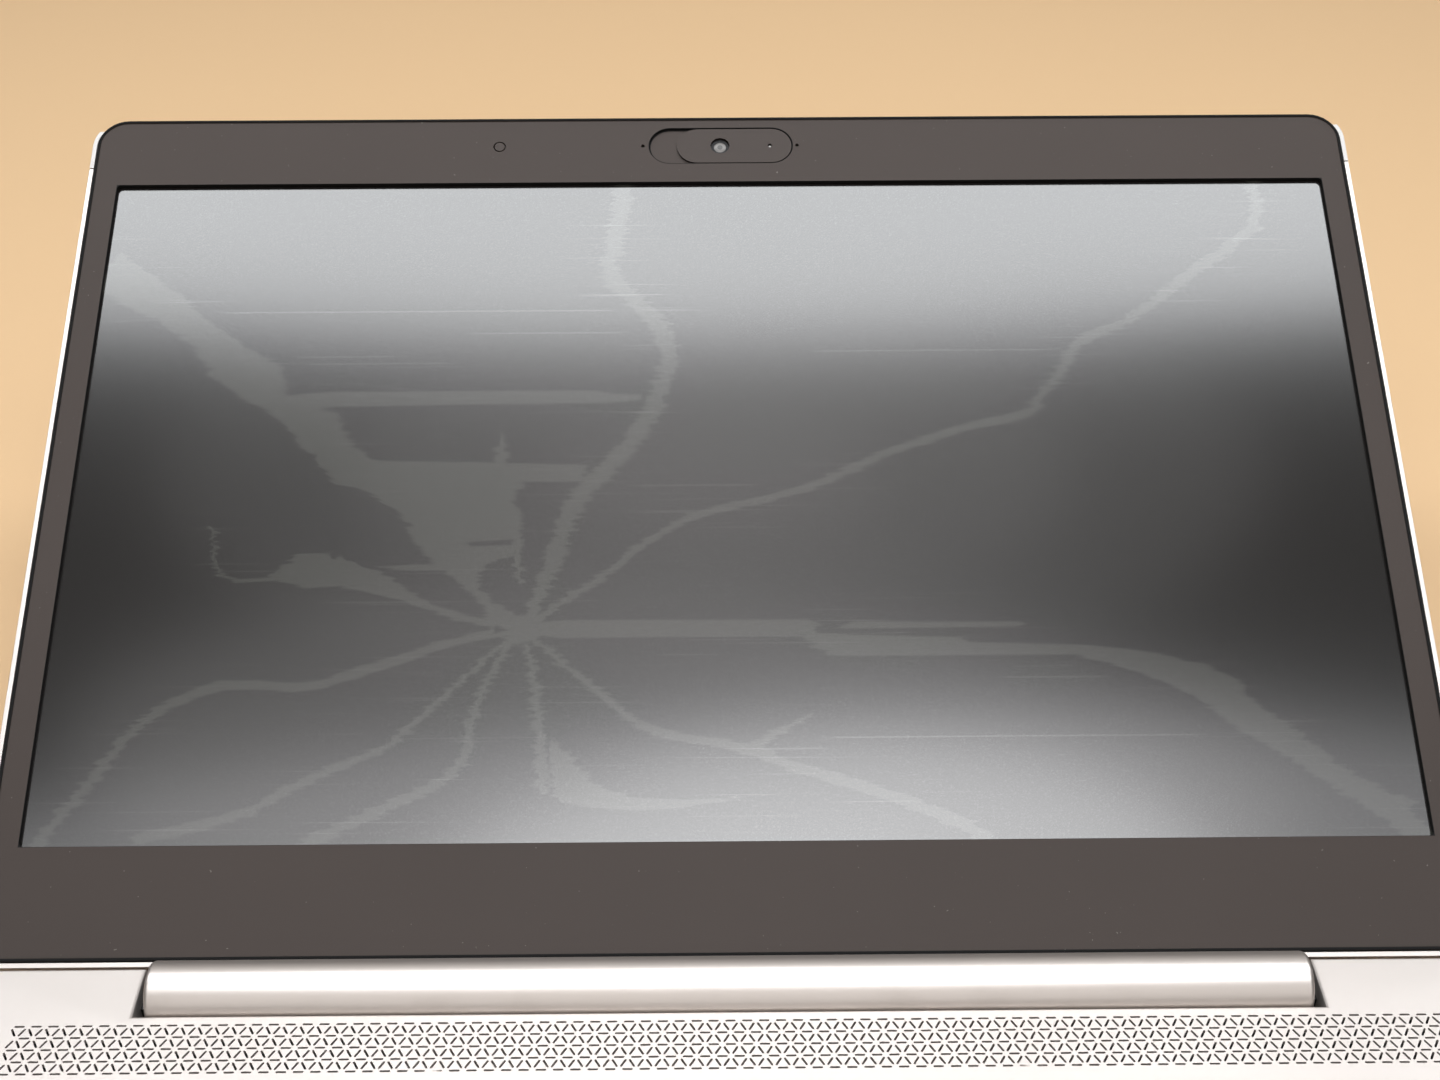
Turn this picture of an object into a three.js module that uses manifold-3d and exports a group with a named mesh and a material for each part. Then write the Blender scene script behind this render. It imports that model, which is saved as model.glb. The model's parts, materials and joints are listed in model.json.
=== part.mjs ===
// A business laptop with a cracked display, its lid held open. Millimetres, +Z up.
// X runs left to right and +Y to the back. The base is drawn from the hinge axis (y = 0) and the
// table (z = 0). The lid has a frame of its own: x along the hinge, y up the lid from the hinge
// axis, z out of the screen.
import * as THREE from "three";
import { mergeVertices } from "three/addons/utils/BufferGeometryUtils.js";
import Module from "manifold-3d";

// Overall sizes
const WIDTH = 326;
const BASE_DEPTH = 235;
const DECK_HEIGHT = 13.3;
const LID_THICKNESS = 5.5;
const LID_OPEN_DEGREES = 152;

// Shells
const CLEARANCE = 0.3;
// How far a joined boss sinks into its plate, and how far a cutting tool runs past a face
const SINK = 0.2;
const PAST = 1;
// Flat left between the two arcs of a round end
const ROUND_END_FLAT = 0.01;
const WALL = 1.2;
const DECK_PLATE = 1;
const FLOOR_PLATE = 1;
const COVER_WALL = 2.2;
const SKIRT_EDGE_HEIGHT = 4.6;
const FRONT_CORNER = 8;
const BACK_CORNER = 4;
const DECK_EDGE = 0.8;
const FLOOR_EDGE = 2;

// Hinge
const HINGE_BELOW_DECK = 1.9;
const HINGE_FROM_BACK = 5.65;
const BARREL_RADIUS = 7;
const BARREL_WALL = 0.9;
const BARREL_END_BEVEL = 1.2;
const BARREL_END_DROP = 0.6;
const BARREL_END_GAP = 2;
const NOTCH_GAP = 0.24;
const EAR_WIDTH = 39.5;
const PIN_FROM_BARREL_END = 4;
const PIN_RADIUS = 1.8;
const PIN_LENGTH = 18.7;
const KNUCKLE_RADIUS = 3.6;
const LEAF_WEB = 3.2;
const LEAF_KNUCKLE_LENGTH = 12;
const BRACKET_KNUCKLE_LENGTH = 7;
const LEAF_LENGTH = 29;
const LEAF_THICKNESS = 1.2;
const FLANGE_LENGTH = 14;
const FLANGE_THICKNESS = 1.2;
const FLANGE_WEB = 2;
const FLANGE_FROM_BARREL_END = 3;
const BRACKET_THICKNESS = 2.4;
const BRACKET_ARM_WIDTH = 4.8;
const BRACKET_LEG_WIDTH = 12;
const BRACKET_LEG_LENGTH = 24;
const BRACKET_LEG_FROM_SIDE = 11;
const BRACKET_REST = { inset: 4, depth: 6, sideInset: 3 };

// Lid and display
const BARREL_TO_LID = 0.2;
const BARREL_PAST_LID = 0.6;
const BEZEL_BELOW_HINGE = 2.5;
const LID_FRONT_SETBACK = 0.15;
const RIM = 1.1;
const COVER_PLATE = 0.9;
const LID_TOP_CORNER = 8;
const LID_BOTTOM_CORNER = 3;
const LID_BACK_EDGE = 1.4;
const BEZEL_PLATE = 1;
const BEZEL_SIDE = 6.4;
const BEZEL_TOP = 20.1;
const BEZEL_TOP_INSET = 0.6;
const OPENING_CORNER = 1.2;
const BEZEL_CHIN = 25.2;
const LIP_HEIGHT = 0.3;
const LIP_WIDTH = 0.6;
const ANTENNA_STRIP = 15.4;
const STRIP_RIM_CUT = 3.7;
const PANEL_MARGIN = 1.6;
const LAYER_GAP = 0.2;
const FILM = 0.2;
const CELL = 0.8;
const CRACK_WIDTH = 0.5;
const CRACK_DEPTH = 0.4;
const STRUCK_FROM_LEFT = 108;
const STRUCK_FROM_BOTTOM = 51;
const DRIVER_BOARD_FROM_LEAF = 6.2;
const DRIVER_BOARD_HEIGHT = 12.2;
const BOARD = 1;
const CABLE_WIDTH = 12;
const CABLE_THICKNESS = 0.4;
const CABLE_X = -34;
const CABLE_RISE = 1;
const CABLE_RISE_FROM_BORE = 2;
const CABLE_END_PAST_AXIS = 1;

// Webcam, its sliding shutter and the light sensor
const WEBCAM_BELOW_TOP = 8.7;
const LENS_RADIUS = 2.3;
const LENS_HOUSING_RADIUS = 3.2;
const SHUTTER_LENGTH = 29.8;
const SHUTTER_HEIGHT = 10.6;
const SHUTTER_THICKNESS = 0.45;
const SHUTTER_TRAVEL = 7;
const SHUTTER_SIDE_GAP = 0.25;
const SHUTTER_RIGHT = 18.6;
const SHUTTER_LAMP_X = 13;
const SHUTTER_LAMP_RADIUS = 0.6;
const SHUTTER_TRACK_FLOOR = 0.25;
const WEBCAM_BOARD_LENGTH = 80;
const WEBCAM_BOARD_HEIGHT = 11;
const WEBCAM_BOARD_FROM_PANEL = 2;
const MICROPHONE_X = 20.05;
const MICROPHONE_RADIUS = 0.5;
const SENSOR_X = -57.3;
const SENSOR_RADIUS = 1.35;
const SENSOR_GAP = 0.3;

// Keyboard
const KEYBOARD_MARGIN = 20.5;
const KEYBOARD_FROM_HINGE = 30;
const KEYS_ACROSS = 15;
const FULL_KEY_ROWS = 5;
const KEY_ROW_PITCH = 18.6;
const FUNCTION_ROW_PITCH = 12;
const KEY_GAP = 3;
const KEY_CAP = 1.4;
const KEY_BELOW_DECK = 0.2;
const KEY_TRAVEL = 1.2;
const KEY_STEM = 5;
const KEY_PLATE = 0.7;
const KEY_WEB = 0.4;
const KEY_WEB_LIP = 1;
const TRAY_LIP = 3.5;
const TRAY_RIM = 1;

// Touchpad and power button
const TOUCHPAD_WIDTH = 112;
const TOUCHPAD_FROM_KEYS = 10;
const TOUCHPAD_FROM_FRONT = 11;
const TOUCHPAD_BUTTON_DEPTH = 13;
const TOUCHPAD_SINK = 0.25;
const TOUCHPAD_GLASS = 1.2;
const TOUCHPAD_BOARD = 0.8;
const TOUCHPAD_BOARD_MARGIN = 3;
const TOUCHPAD_BUTTON_TRAVEL = 0.5;
const POWER_BUTTON_LENGTH = 14;
const POWER_BUTTON_DEPTH = 3.4;
const POWER_BUTTON_FROM_SIDE = 22;
const POWER_BUTTON_FROM_HINGE = 25.4;
const POWER_BUTTON_THICKNESS = 0.7;
const POWER_BUTTON_SINK = 0.1;

// Feet, screws and vents
const FOOT_HEIGHT = 1.5;
const FOOT_LENGTH = 220;
const FOOT_DEPTH = 9;
const FOOT_CORNER = 4;
const FOOT_RECESS = 0.5;
const FOOT_FROM_FRONT = 12;
const FOOT_FROM_HINGE = 14;
const SCREW_HEAD_RADIUS = 2.2;
const SCREW_HEAD_HEIGHT = 0.7;
const SCREW_RADIUS = 1;
const SCREW_LENGTH = 7.5;
const SCREW_POST_RADIUS = 2.6;
const SCREW_BOSS_HEIGHT = 1.2;
const SCREW_FROM_SIDE = 10.5;
const SCREW_FROM_FRONT = 11;
const SCREW_MID_FROM_HINGE = 128;
const SCREW_FROM_SPEAKER = 12;
const SCREW_BACK_FROM_HINGE = 23.5;
const VENT_SLOT = 1.8;
const VENT_PITCH = 4;
const VENT_FROM_FAN_SIDE = 8;
const VENT_FROM_FAN_END = 12;
const EXHAUST_SLOT = 2.2;
const EXHAUST_PITCH = 4.6;
const EXHAUST_FROM_SEAM = 1;

// Inside the base
const STANDOFF = 1.4;
const STANDOFF_RADIUS = 2.4;
const STANDOFF_INSET = 6;
const MAINBOARD_FROM_FAN = 4;
const MAINBOARD_FROM_SIDE = 15;
const MAINBOARD_PAST_FAN = 26;
const CHIP_HEIGHT = 0.7;
const CHIP_GAP = 4;
const CHIP_MARGIN = 4;
const MODULE_SOCKET_WIDTH = 6;
const MODULE_SOCKET_HEIGHT = 2.3;
const MEMORY = { length: 68, depth: 30, fromProcessor: 24, fromBoardFront: 8, chips: 4 };
const STORAGE = { length: 80, depth: 22, fromProcessor: 30, fromBoardBack: 6, chips: 3 };
const WIRELESS = { length: 30, depth: 22, fromMemory: 10, chips: 1 };
const FAN_SIZE = 58;
const FAN_FROM_SIDE = 17;
const FAN_FROM_HINGE = 34;
const FAN_PLATE = 0.8;
const FAN_CORNER = 6;
const FAN_RADIUS = 24;
const FAN_ROOM = 3;
const FAN_TOP_INLET = 16;
const FAN_FLOOR_INLET = 18;
const FAN_SPOKE = 4;
const FAN_HUB_RADIUS = 9;
const FAN_HUB_CAP = 1.1;
const FAN_PIN_RADIUS = 1.4;
const FAN_BLADES = 15;
const FAN_BLADE_THICKNESS = 0.7;
const FAN_BLADE_LENGTH = 16;
const FAN_BLADE_ROOT = 1.4;
const FAN_BLADE_SWEEP = 0.5;
const FIN_STACK_WIDTH = 11;
const FIN_THICKNESS = 0.6;
const FIN_PITCH = 3.4;
const FIN_FROM_FAN_FRONT = 4;
const FIN_FROM_FAN_BACK = 2;
const FIN_REST = { sideInset: 3, endInset: 6 };
const HEAT_PIPE_WIDTH = 5;
const HEAT_PIPE_THICKNESS = 1.1;
const HEAT_PIPE_BEND = 8;
const HEAT_PIPE_FROM_FAN = 1.3;
const HEAT_PIPE_FROM_FIN_END = 4;
const PROCESSOR_SIZE = 26;
const PROCESSOR_X = -30;
const PROCESSOR_FROM_HINGE = 70;
const SPREADER_THICKNESS = 0.6;
const SPREADER_MARGIN = 4;
const BATTERY_WIDTH = 240;
const BATTERY_FROM_FRONT = 8;
const BATTERY_FROM_BOARD = 10;
const BATTERY_CORNER = 2;
const BATTERY_CELLS = 4;
const CELL_SEAM = { width: 1, depth: 0.4, inset: 3 };
const SPEAKER_LENGTH = 60;
const SPEAKER_DEPTH = 16;
const SPEAKER_HEIGHT = 6;
const SPEAKER_FROM_BRACKET = 8;
const SPEAKER_CORNER = 2;
const CONE = { endInset: 5, sideInset: 3, corner: 4.5, depth: 1 };

// Sockets in the side walls: mouth along the wall, mouth height and depth into the base
const SOCKET_SHELL = 0.5;
const SOCKET_BELOW_DECK = 3.9;
const SOCKET_BACK = 1;
const TONGUE_SETBACK = 2;
const TONGUE_SIDE_GAP = 1.4;
const USB_MOUTH = { length: 12.6, height: 5.1, depth: 12.5, tongue: 1.8 };
const VIDEO_MOUTH = { length: 15, height: 5, depth: 11, tongue: 1.4 };
const USB_C_MOUTH = { length: 9, height: 3.4, depth: 8, tongue: 0.8 };
const AUDIO_BORE = 1.75;
const AUDIO_BODY = 7;
const AUDIO_DEPTH = 12;

// Places worked out from the sizes above
const SIDE = WIDTH / 2;
const BASE_BACK = HINGE_FROM_BACK;
const BASE_FRONT = HINGE_FROM_BACK - BASE_DEPTH;
const BOTTOM_Z = FOOT_HEIGHT;
const FLOOR_Z = BOTTOM_Z + FLOOR_PLATE;
const UNDER_DECK_Z = DECK_HEIGHT - DECK_PLATE;
const SOCKET_HEIGHT = UNDER_DECK_Z - SOCKET_BELOW_DECK;
const HINGE_Z = DECK_HEIGHT - HINGE_BELOW_DECK;
const NOTCH_LENGTH = WIDTH - 2 * EAR_WIDTH;
const BARREL_LENGTH = NOTCH_LENGTH - 2 * BARREL_END_GAP;
const NOTCH_FRONT = -BARREL_RADIUS - NOTCH_GAP;
const BARREL_BORE = BARREL_RADIUS - BARREL_WALL;

const LID_BOTTOM = BARREL_RADIUS - BARREL_PAST_LID;
const BEZEL_BOTTOM = LID_BOTTOM + RIM + CLEARANCE;
const LID_TOP = -BASE_FRONT - LID_FRONT_SETBACK;
const BEZEL_FRONT = -BEZEL_BELOW_HINGE;
const BEZEL_BACK = BEZEL_FRONT - BEZEL_PLATE;
const LID_BACK = BEZEL_FRONT - LID_THICKNESS;
const COVER_INSIDE = LID_BACK + COVER_PLATE;
const BEZEL_SIDE_EDGE = SIDE - RIM - CLEARANCE;
const BEZEL_TOP_EDGE = LID_TOP - BEZEL_TOP_INSET;
const SCREEN_SIDE = BEZEL_SIDE_EDGE - BEZEL_SIDE;
const SCREEN_BOTTOM = BEZEL_BOTTOM + BEZEL_CHIN;
const SCREEN_TOP = BEZEL_TOP_EDGE - BEZEL_TOP;
const PANEL_SIDE = SCREEN_SIDE + PANEL_MARGIN;
const PANEL_BOTTOM = SCREEN_BOTTOM - PANEL_MARGIN;
const PANEL_TOP = SCREEN_TOP + PANEL_MARGIN;
const FILM_FRONT = BEZEL_BACK - LAYER_GAP;
const CELL_FRONT = FILM_FRONT - FILM - LAYER_GAP;
const CELL_BACK = CELL_FRONT - CELL;
const LEAF_BACK = CELL_BACK - LAYER_GAP;
const FLANGE_BACK = COVER_INSIDE + CLEARANCE;

const KEY_PITCH = (WIDTH - 2 * KEYBOARD_MARGIN) / KEYS_ACROSS;
const KEYBOARD_SIDE = (KEYS_ACROSS * KEY_PITCH) / 2;
const KEYBOARD_BACK = -KEYBOARD_FROM_HINGE;
const KEYBOARD_FRONT = KEYBOARD_BACK - FUNCTION_ROW_PITCH - FULL_KEY_ROWS * KEY_ROW_PITCH;
const KEY_TOP = DECK_HEIGHT - KEY_BELOW_DECK;
const KEY_CAP_BOTTOM = KEY_TOP - KEY_CAP;
const KEY_PLATE_TOP = KEY_CAP_BOTTOM - KEY_TRAVEL - CLEARANCE;
const KEY_PLATE_BOTTOM = KEY_PLATE_TOP - KEY_PLATE;
const INSIDE_TOP = KEY_PLATE_BOTTOM - KEY_TRAVEL - CLEARANCE;

const TOUCHPAD_TOP = DECK_HEIGHT - TOUCHPAD_SINK;
const TOUCHPAD_BOARD_TOP = TOUCHPAD_TOP - TOUCHPAD_GLASS - CLEARANCE;
const TOUCHPAD_BOARD_BOTTOM = TOUCHPAD_BOARD_TOP - TOUCHPAD_BOARD;
const TOUCHPAD_BACK = KEYBOARD_FRONT - TOUCHPAD_FROM_KEYS;
const TOUCHPAD_FRONT = BASE_FRONT + TOUCHPAD_FROM_FRONT;
const TOUCHPAD_SPLIT = TOUCHPAD_FRONT + TOUCHPAD_BUTTON_DEPTH;

const BOARD_BOTTOM = FLOOR_Z + STANDOFF + CLEARANCE;
const BOARD_TOP = BOARD_BOTTOM + BOARD;
const FAN_LEFT = -SIDE + FAN_FROM_SIDE;
const FAN_RIGHT = FAN_LEFT + FAN_SIZE;
const FAN_BACK = -FAN_FROM_HINGE;
const FAN_FRONT = FAN_BACK - FAN_SIZE;
const MAINBOARD_LEFT = FAN_RIGHT + MAINBOARD_FROM_FAN;
const MAINBOARD_RIGHT = SIDE - MAINBOARD_FROM_SIDE;
const MAINBOARD_BACK = FAN_BACK;
const MAINBOARD_FRONT = FAN_FRONT - MAINBOARD_PAST_FAN;
const BATTERY_BACK = MAINBOARD_FRONT - BATTERY_FROM_BOARD;
const BATTERY_FRONT = BASE_FRONT + BATTERY_FROM_FRONT;

const wasm = await Module();
wasm.setup();

// A closed geometry as a solid that can be joined and cut.
function solid(geometry) {
  const loose = geometry.index ? geometry.toNonIndexed() : geometry;
  const bare = new THREE.BufferGeometry();
  bare.setAttribute("position", loose.getAttribute("position"));
  const merged = mergeVertices(bare, 1e-4);
  const vertProperties = merged.attributes.position.array;
  const triVerts = new Uint32Array(merged.index.array);
  return new wasm.Manifold(new wasm.Mesh({ numProp: 3, vertProperties, triVerts }));
}

// A solid back as a geometry.
function geometryOf(shape) {
  const mesh = shape.getMesh();
  const geometry = new THREE.BufferGeometry();
  geometry.setAttribute("position", new THREE.BufferAttribute(mesh.vertProperties, 3));
  geometry.setIndex(new THREE.BufferAttribute(mesh.triVerts, 1));
  geometry.computeVertexNormals();
  return geometry;
}

function join(...shapes) {
  return shapes.flat().reduce((whole, shape) => whole.add(shape));
}

function cut(shape, ...tools) {
  return tools.flat().reduce((left, tool) => left.subtract(tool), shape);
}

// A box between its low and high x, y and z.
function block([x0, x1], [y0, y1], [z0, z1]) {
  const box = new THREE.BoxGeometry(x1 - x0, y1 - y0, z1 - z0);
  box.translate((x0 + x1) / 2, (y0 + y1) / 2, (z0 + z1) / 2);
  return solid(box);
}

// A round bar along X.
function rod(radius, [x0, x1], y, z, sides = 24) {
  const bar = new THREE.CylinderGeometry(radius, radius, x1 - x0, sides);
  bar.rotateZ(Math.PI / 2);
  bar.translate((x0 + x1) / 2, y, z);
  return solid(bar);
}

// A round post along Z.
function post(radius, x, y, [z0, z1], sides = 12) {
  const bar = new THREE.CylinderGeometry(radius, radius, z1 - z0, sides);
  bar.rotateX(Math.PI / 2);
  bar.translate(x, y, (z0 + z1) / 2);
  return solid(bar);
}

// A plate of any outline between two heights, its edges bevelled if asked.
function slab(outline, [z0, z1], edge = 0) {
  const plate = new THREE.ExtrudeGeometry(outline, {
    depth: z1 - z0 - 2 * edge,
    curveSegments: 4,
    bevelEnabled: edge > 0,
    bevelSize: edge,
    bevelThickness: edge,
    bevelOffset: -edge,
    bevelSegments: 2,
  });
  plate.translate(0, 0, z0 + edge);
  return solid(plate);
}

// A section in the Y and Z plane carried along X.
function bar(section, [x0, x1]) {
  const outline = new THREE.Shape(section.map(([y, z]) => new THREE.Vector2(y, z)));
  const prism = new THREE.ExtrudeGeometry(outline, { depth: x1 - x0, bevelEnabled: false });
  const turn = new THREE.Matrix4().makeBasis(
    new THREE.Vector3(0, 1, 0),
    new THREE.Vector3(0, 0, 1),
    new THREE.Vector3(1, 0, 0),
  );
  prism.applyMatrix4(turn);
  prism.translate(x0, 0, 0);
  return solid(prism);
}

// A flat strip that follows a line of [x, y] points, round at its joints and ends.
function strip(points, width, [z0, z1], sides = 8) {
  const pieces = points.map(([x, y]) => post(width / 2, x, y, [z0, z1], sides));
  for (let i = 1; i < points.length; i += 1) {
    const [xa, ya] = points[i - 1];
    const [xb, yb] = points[i];
    const run = new THREE.BoxGeometry(Math.hypot(xb - xa, yb - ya), width, z1 - z0);
    run.rotateZ(Math.atan2(yb - ya, xb - xa));
    run.translate((xa + xb) / 2, (ya + yb) / 2, (z0 + z1) / 2);
    pieces.push(solid(run));
  }
  return join(pieces);
}

// A rectangle with round corners, one radius at its top edge and one at its bottom edge.
function roundedOutline([x0, x1], [y0, y1], top, bottom = top) {
  const quarter = Math.PI / 2;
  const outline = new THREE.Shape();
  outline.absarc(x1 - top, y1 - top, top, 0, quarter);
  outline.absarc(x0 + top, y1 - top, top, quarter, 2 * quarter);
  outline.absarc(x0 + bottom, y0 + bottom, bottom, 2 * quarter, 3 * quarter);
  outline.absarc(x1 - bottom, y0 + bottom, bottom, 3 * quarter, 4 * quarter);
  outline.closePath();
  return outline;
}

// The base seen from above with the hinge notch in its back edge, drawn in by an inset.
function baseOutline(inset) {
  const quarter = Math.PI / 2;
  const side = SIDE - inset;
  const back = BASE_BACK - inset;
  const front = BASE_FRONT + inset;
  const notchSide = NOTCH_LENGTH / 2 + inset;
  const notchFront = NOTCH_FRONT - inset;
  const backRadius = BACK_CORNER - inset;
  const frontRadius = FRONT_CORNER - inset;
  const outline = new THREE.Shape();
  outline.absarc(side - backRadius, back - backRadius, backRadius, 0, quarter);
  outline.lineTo(notchSide, back);
  outline.lineTo(notchSide, notchFront);
  outline.lineTo(-notchSide, notchFront);
  outline.lineTo(-notchSide, back);
  outline.absarc(-side + backRadius, back - backRadius, backRadius, quarter, 2 * quarter);
  outline.absarc(-side + frontRadius, front + frontRadius, frontRadius, 2 * quarter, 3 * quarter);
  outline.absarc(side - frontRadius, front + frontRadius, frontRadius, 3 * quarter, 4 * quarter);
  outline.closePath();
  return outline;
}

const laptop = new THREE.Group();
const base = new THREE.Group();
const lid = new THREE.Group();
laptop.add(base, lid);
lid.position.z = HINGE_Z;
lid.rotation.x = THREE.MathUtils.degToRad(180 - LID_OPEN_DEGREES);

function addPiece(group, name, shape, [color, roughness, metalness]) {
  const material = new THREE.MeshStandardMaterial({ color, roughness, metalness });
  const mesh = new THREE.Mesh(geometryOf(shape), material);
  mesh.name = name;
  group.add(mesh);
}

// Finishes: colour, roughness, metalness
const ALUMINIUM = [0xcfcac9, 0.42, 1];
const BARREL_METAL = [0xc9c2bf, 0.35, 1];
const BEZEL_PLASTIC = [0x3b3634, 0.75, 0];
const ANTENNA_PLASTIC = [0x8d8a89, 0.6, 0];
const SCREEN_FILM = [0x3c4044, 0.35, 0];
const GLASS = [0x8f979b, 0.2, 0];
const WHITE_SHEET = [0xe8e8e2, 0.6, 0];
const GREEN_BOARD = [0x23402f, 0.6, 0];
const BLACK_PLASTIC = [0x171717, 0.6, 0];
const DARK_STEEL = [0x6d6d70, 0.4, 1];
const BRIGHT_STEEL = [0xb6b6b8, 0.3, 1];
const COPPER = [0xb87349, 0.35, 1];
const RUBBER = [0x1c1c1c, 0.9, 0];
const KEY_PLASTIC = [0x222223, 0.7, 0];
const LENS_GLASS = [0x0b0d10, 0.08, 0];
const BATTERY_FILM = [0x26282b, 0.55, 0];

// Keyboard layout: widths in key pitches, and a name for each key that is a piece of its own
const plainKeys = (count) => Array(count).fill({ units: 1 });
const KEY_ROWS = [
  plainKeys(15),
  [...plainKeys(13), { units: 2, name: "backspace_key" }],
  [{ units: 1.5, name: "tab_key" }, ...plainKeys(12), { units: 1.5 }],
  [{ units: 1.75, name: "caps_key" }, ...plainKeys(11), { units: 2.25, name: "enter_key" }],
  [{ units: 2.25, name: "left_shift_key" }, ...plainKeys(10), { units: 2.75, name: "right_shift_key" }],
  [
    { units: 1.25 },
    ...plainKeys(3),
    { units: 5.5, name: "space_bar" },
    { units: 1 },
    { units: 1.25 },
    { units: 1 },
    { units: 1, stacked: true },
    { units: 1 },
  ],
];

// Every key's cap as a name with its x and y range. A stacked key is an upper and a lower half.
function keyCaps() {
  const caps = [];
  const inset = KEY_GAP / 2;
  let back = KEYBOARD_BACK;
  KEY_ROWS.forEach((row, index) => {
    const front = back - (index === 0 ? FUNCTION_ROW_PITCH : KEY_ROW_PITCH);
    let left = -KEYBOARD_SIDE;
    for (const key of row) {
      const right = left + key.units * KEY_PITCH;
      const x = [left + inset, right - inset];
      const middle = (front + back) / 2;
      if (key.stacked) {
        caps.push({ x, y: [front + inset, middle - inset / 2] });
        caps.push({ x, y: [middle + inset / 2, back - inset] });
      } else {
        caps.push({ name: key.name, x, y: [front + inset, back - inset] });
      }
      left = right;
    }
    back = front;
  });
  return caps;
}

const CAPS = keyCaps();
const MOVING_CAPS = CAPS.filter((cap) => cap.name);
const FIXED_CAPS = CAPS.filter((cap) => !cap.name);

function grown([low, high], by) {
  return [low - by, high + by];
}

function around(centre, half) {
  return [centre - half, centre + half];
}

function middleOf([low, high]) {
  return (low + high) / 2;
}

// Hinge parts run along X on both sides, so a range on the right is mirrored for the left.
function handed(hand, [low, high]) {
  return hand > 0 ? [low, high] : [-high, -low];
}

const HANDS = [
  { side: "left", hand: -1 },
  { side: "right", hand: 1 },
];
const PIN_END = BARREL_LENGTH / 2 - PIN_FROM_BARREL_END;
const PIN_START = PIN_END - PIN_LENGTH;
const BRACKET_KNUCKLE = [PIN_END - BRACKET_KNUCKLE_LENGTH, PIN_END];
const LEAF_KNUCKLE_END = BRACKET_KNUCKLE[0] - CLEARANCE;
const LEAF_KNUCKLE = [LEAF_KNUCKLE_END - LEAF_KNUCKLE_LENGTH, LEAF_KNUCKLE_END];
const ARM_TOP = HINGE_Z - PIN_RADIUS;
const ARM_BOTTOM = ARM_TOP - BRACKET_THICKNESS;
const ARM_HALF = BRACKET_ARM_WIDTH / 2;
const LEG_X = [SIDE - BRACKET_LEG_FROM_SIDE - BRACKET_LEG_WIDTH, SIDE - BRACKET_LEG_FROM_SIDE];
const LEG_Y = [-BRACKET_LEG_LENGTH, ARM_HALF];
const SPEAKER_END = LEG_X[0] - SPEAKER_FROM_BRACKET;
const SPEAKER_X = [SPEAKER_END - SPEAKER_LENGTH, SPEAKER_END];
const SCREW_BACK_X = SPEAKER_X[0] - SCREW_FROM_SPEAKER;

// Places of the bottom screws
const SCREWS = [
  [-SIDE + SCREW_FROM_SIDE, BASE_FRONT + SCREW_FROM_FRONT],
  [SIDE - SCREW_FROM_SIDE, BASE_FRONT + SCREW_FROM_FRONT],
  [-SIDE + SCREW_FROM_SIDE, -SCREW_MID_FROM_HINGE],
  [SIDE - SCREW_FROM_SIDE, -SCREW_MID_FROM_HINGE],
  [-SCREW_BACK_X, -SCREW_BACK_FROM_HINGE],
  [SCREW_BACK_X, -SCREW_BACK_FROM_HINGE],
];

// Sockets: which wall they are in, how far in front of the hinge, and their mouth
const SOCKETS = [
  { name: "usb_socket_left", wall: -1, fromHinge: 112, mouth: USB_MOUTH },
  { name: "usb_socket_right", wall: 1, fromHinge: 112, mouth: USB_MOUTH },
  { name: "video_socket", wall: 1, fromHinge: 84, mouth: VIDEO_MOUTH },
  { name: "usb_c_socket", wall: 1, fromHinge: 60, mouth: USB_C_MOUTH },
];
const AUDIO_FROM_HINGE = 146;

// X range of a depth into the base from its left (-1) or right (1) wall.
function fromWall(wall, outside, inside) {
  const a = wall * (SIDE - outside);
  const b = wall * (SIDE - inside);
  return [Math.min(a, b), Math.max(a, b)];
}

const TOUCHPAD_X = around(0, TOUCHPAD_WIDTH / 2);
const POWER_BUTTON_LEFT = -SIDE + POWER_BUTTON_FROM_SIDE;
const POWER_BUTTON_X = [POWER_BUTTON_LEFT, POWER_BUTTON_LEFT + POWER_BUTTON_LENGTH];
const POWER_BUTTON_Y = around(-POWER_BUTTON_FROM_HINGE, POWER_BUTTON_DEPTH / 2);
const FIN_STACK_X = [FAN_LEFT - CLEARANCE - FIN_STACK_WIDTH, FAN_LEFT - CLEARANCE];
const FOOT_PLACES = {
  front_foot: BASE_FRONT + FOOT_FROM_FRONT,
  rear_foot: -FOOT_FROM_HINGE,
};

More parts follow.
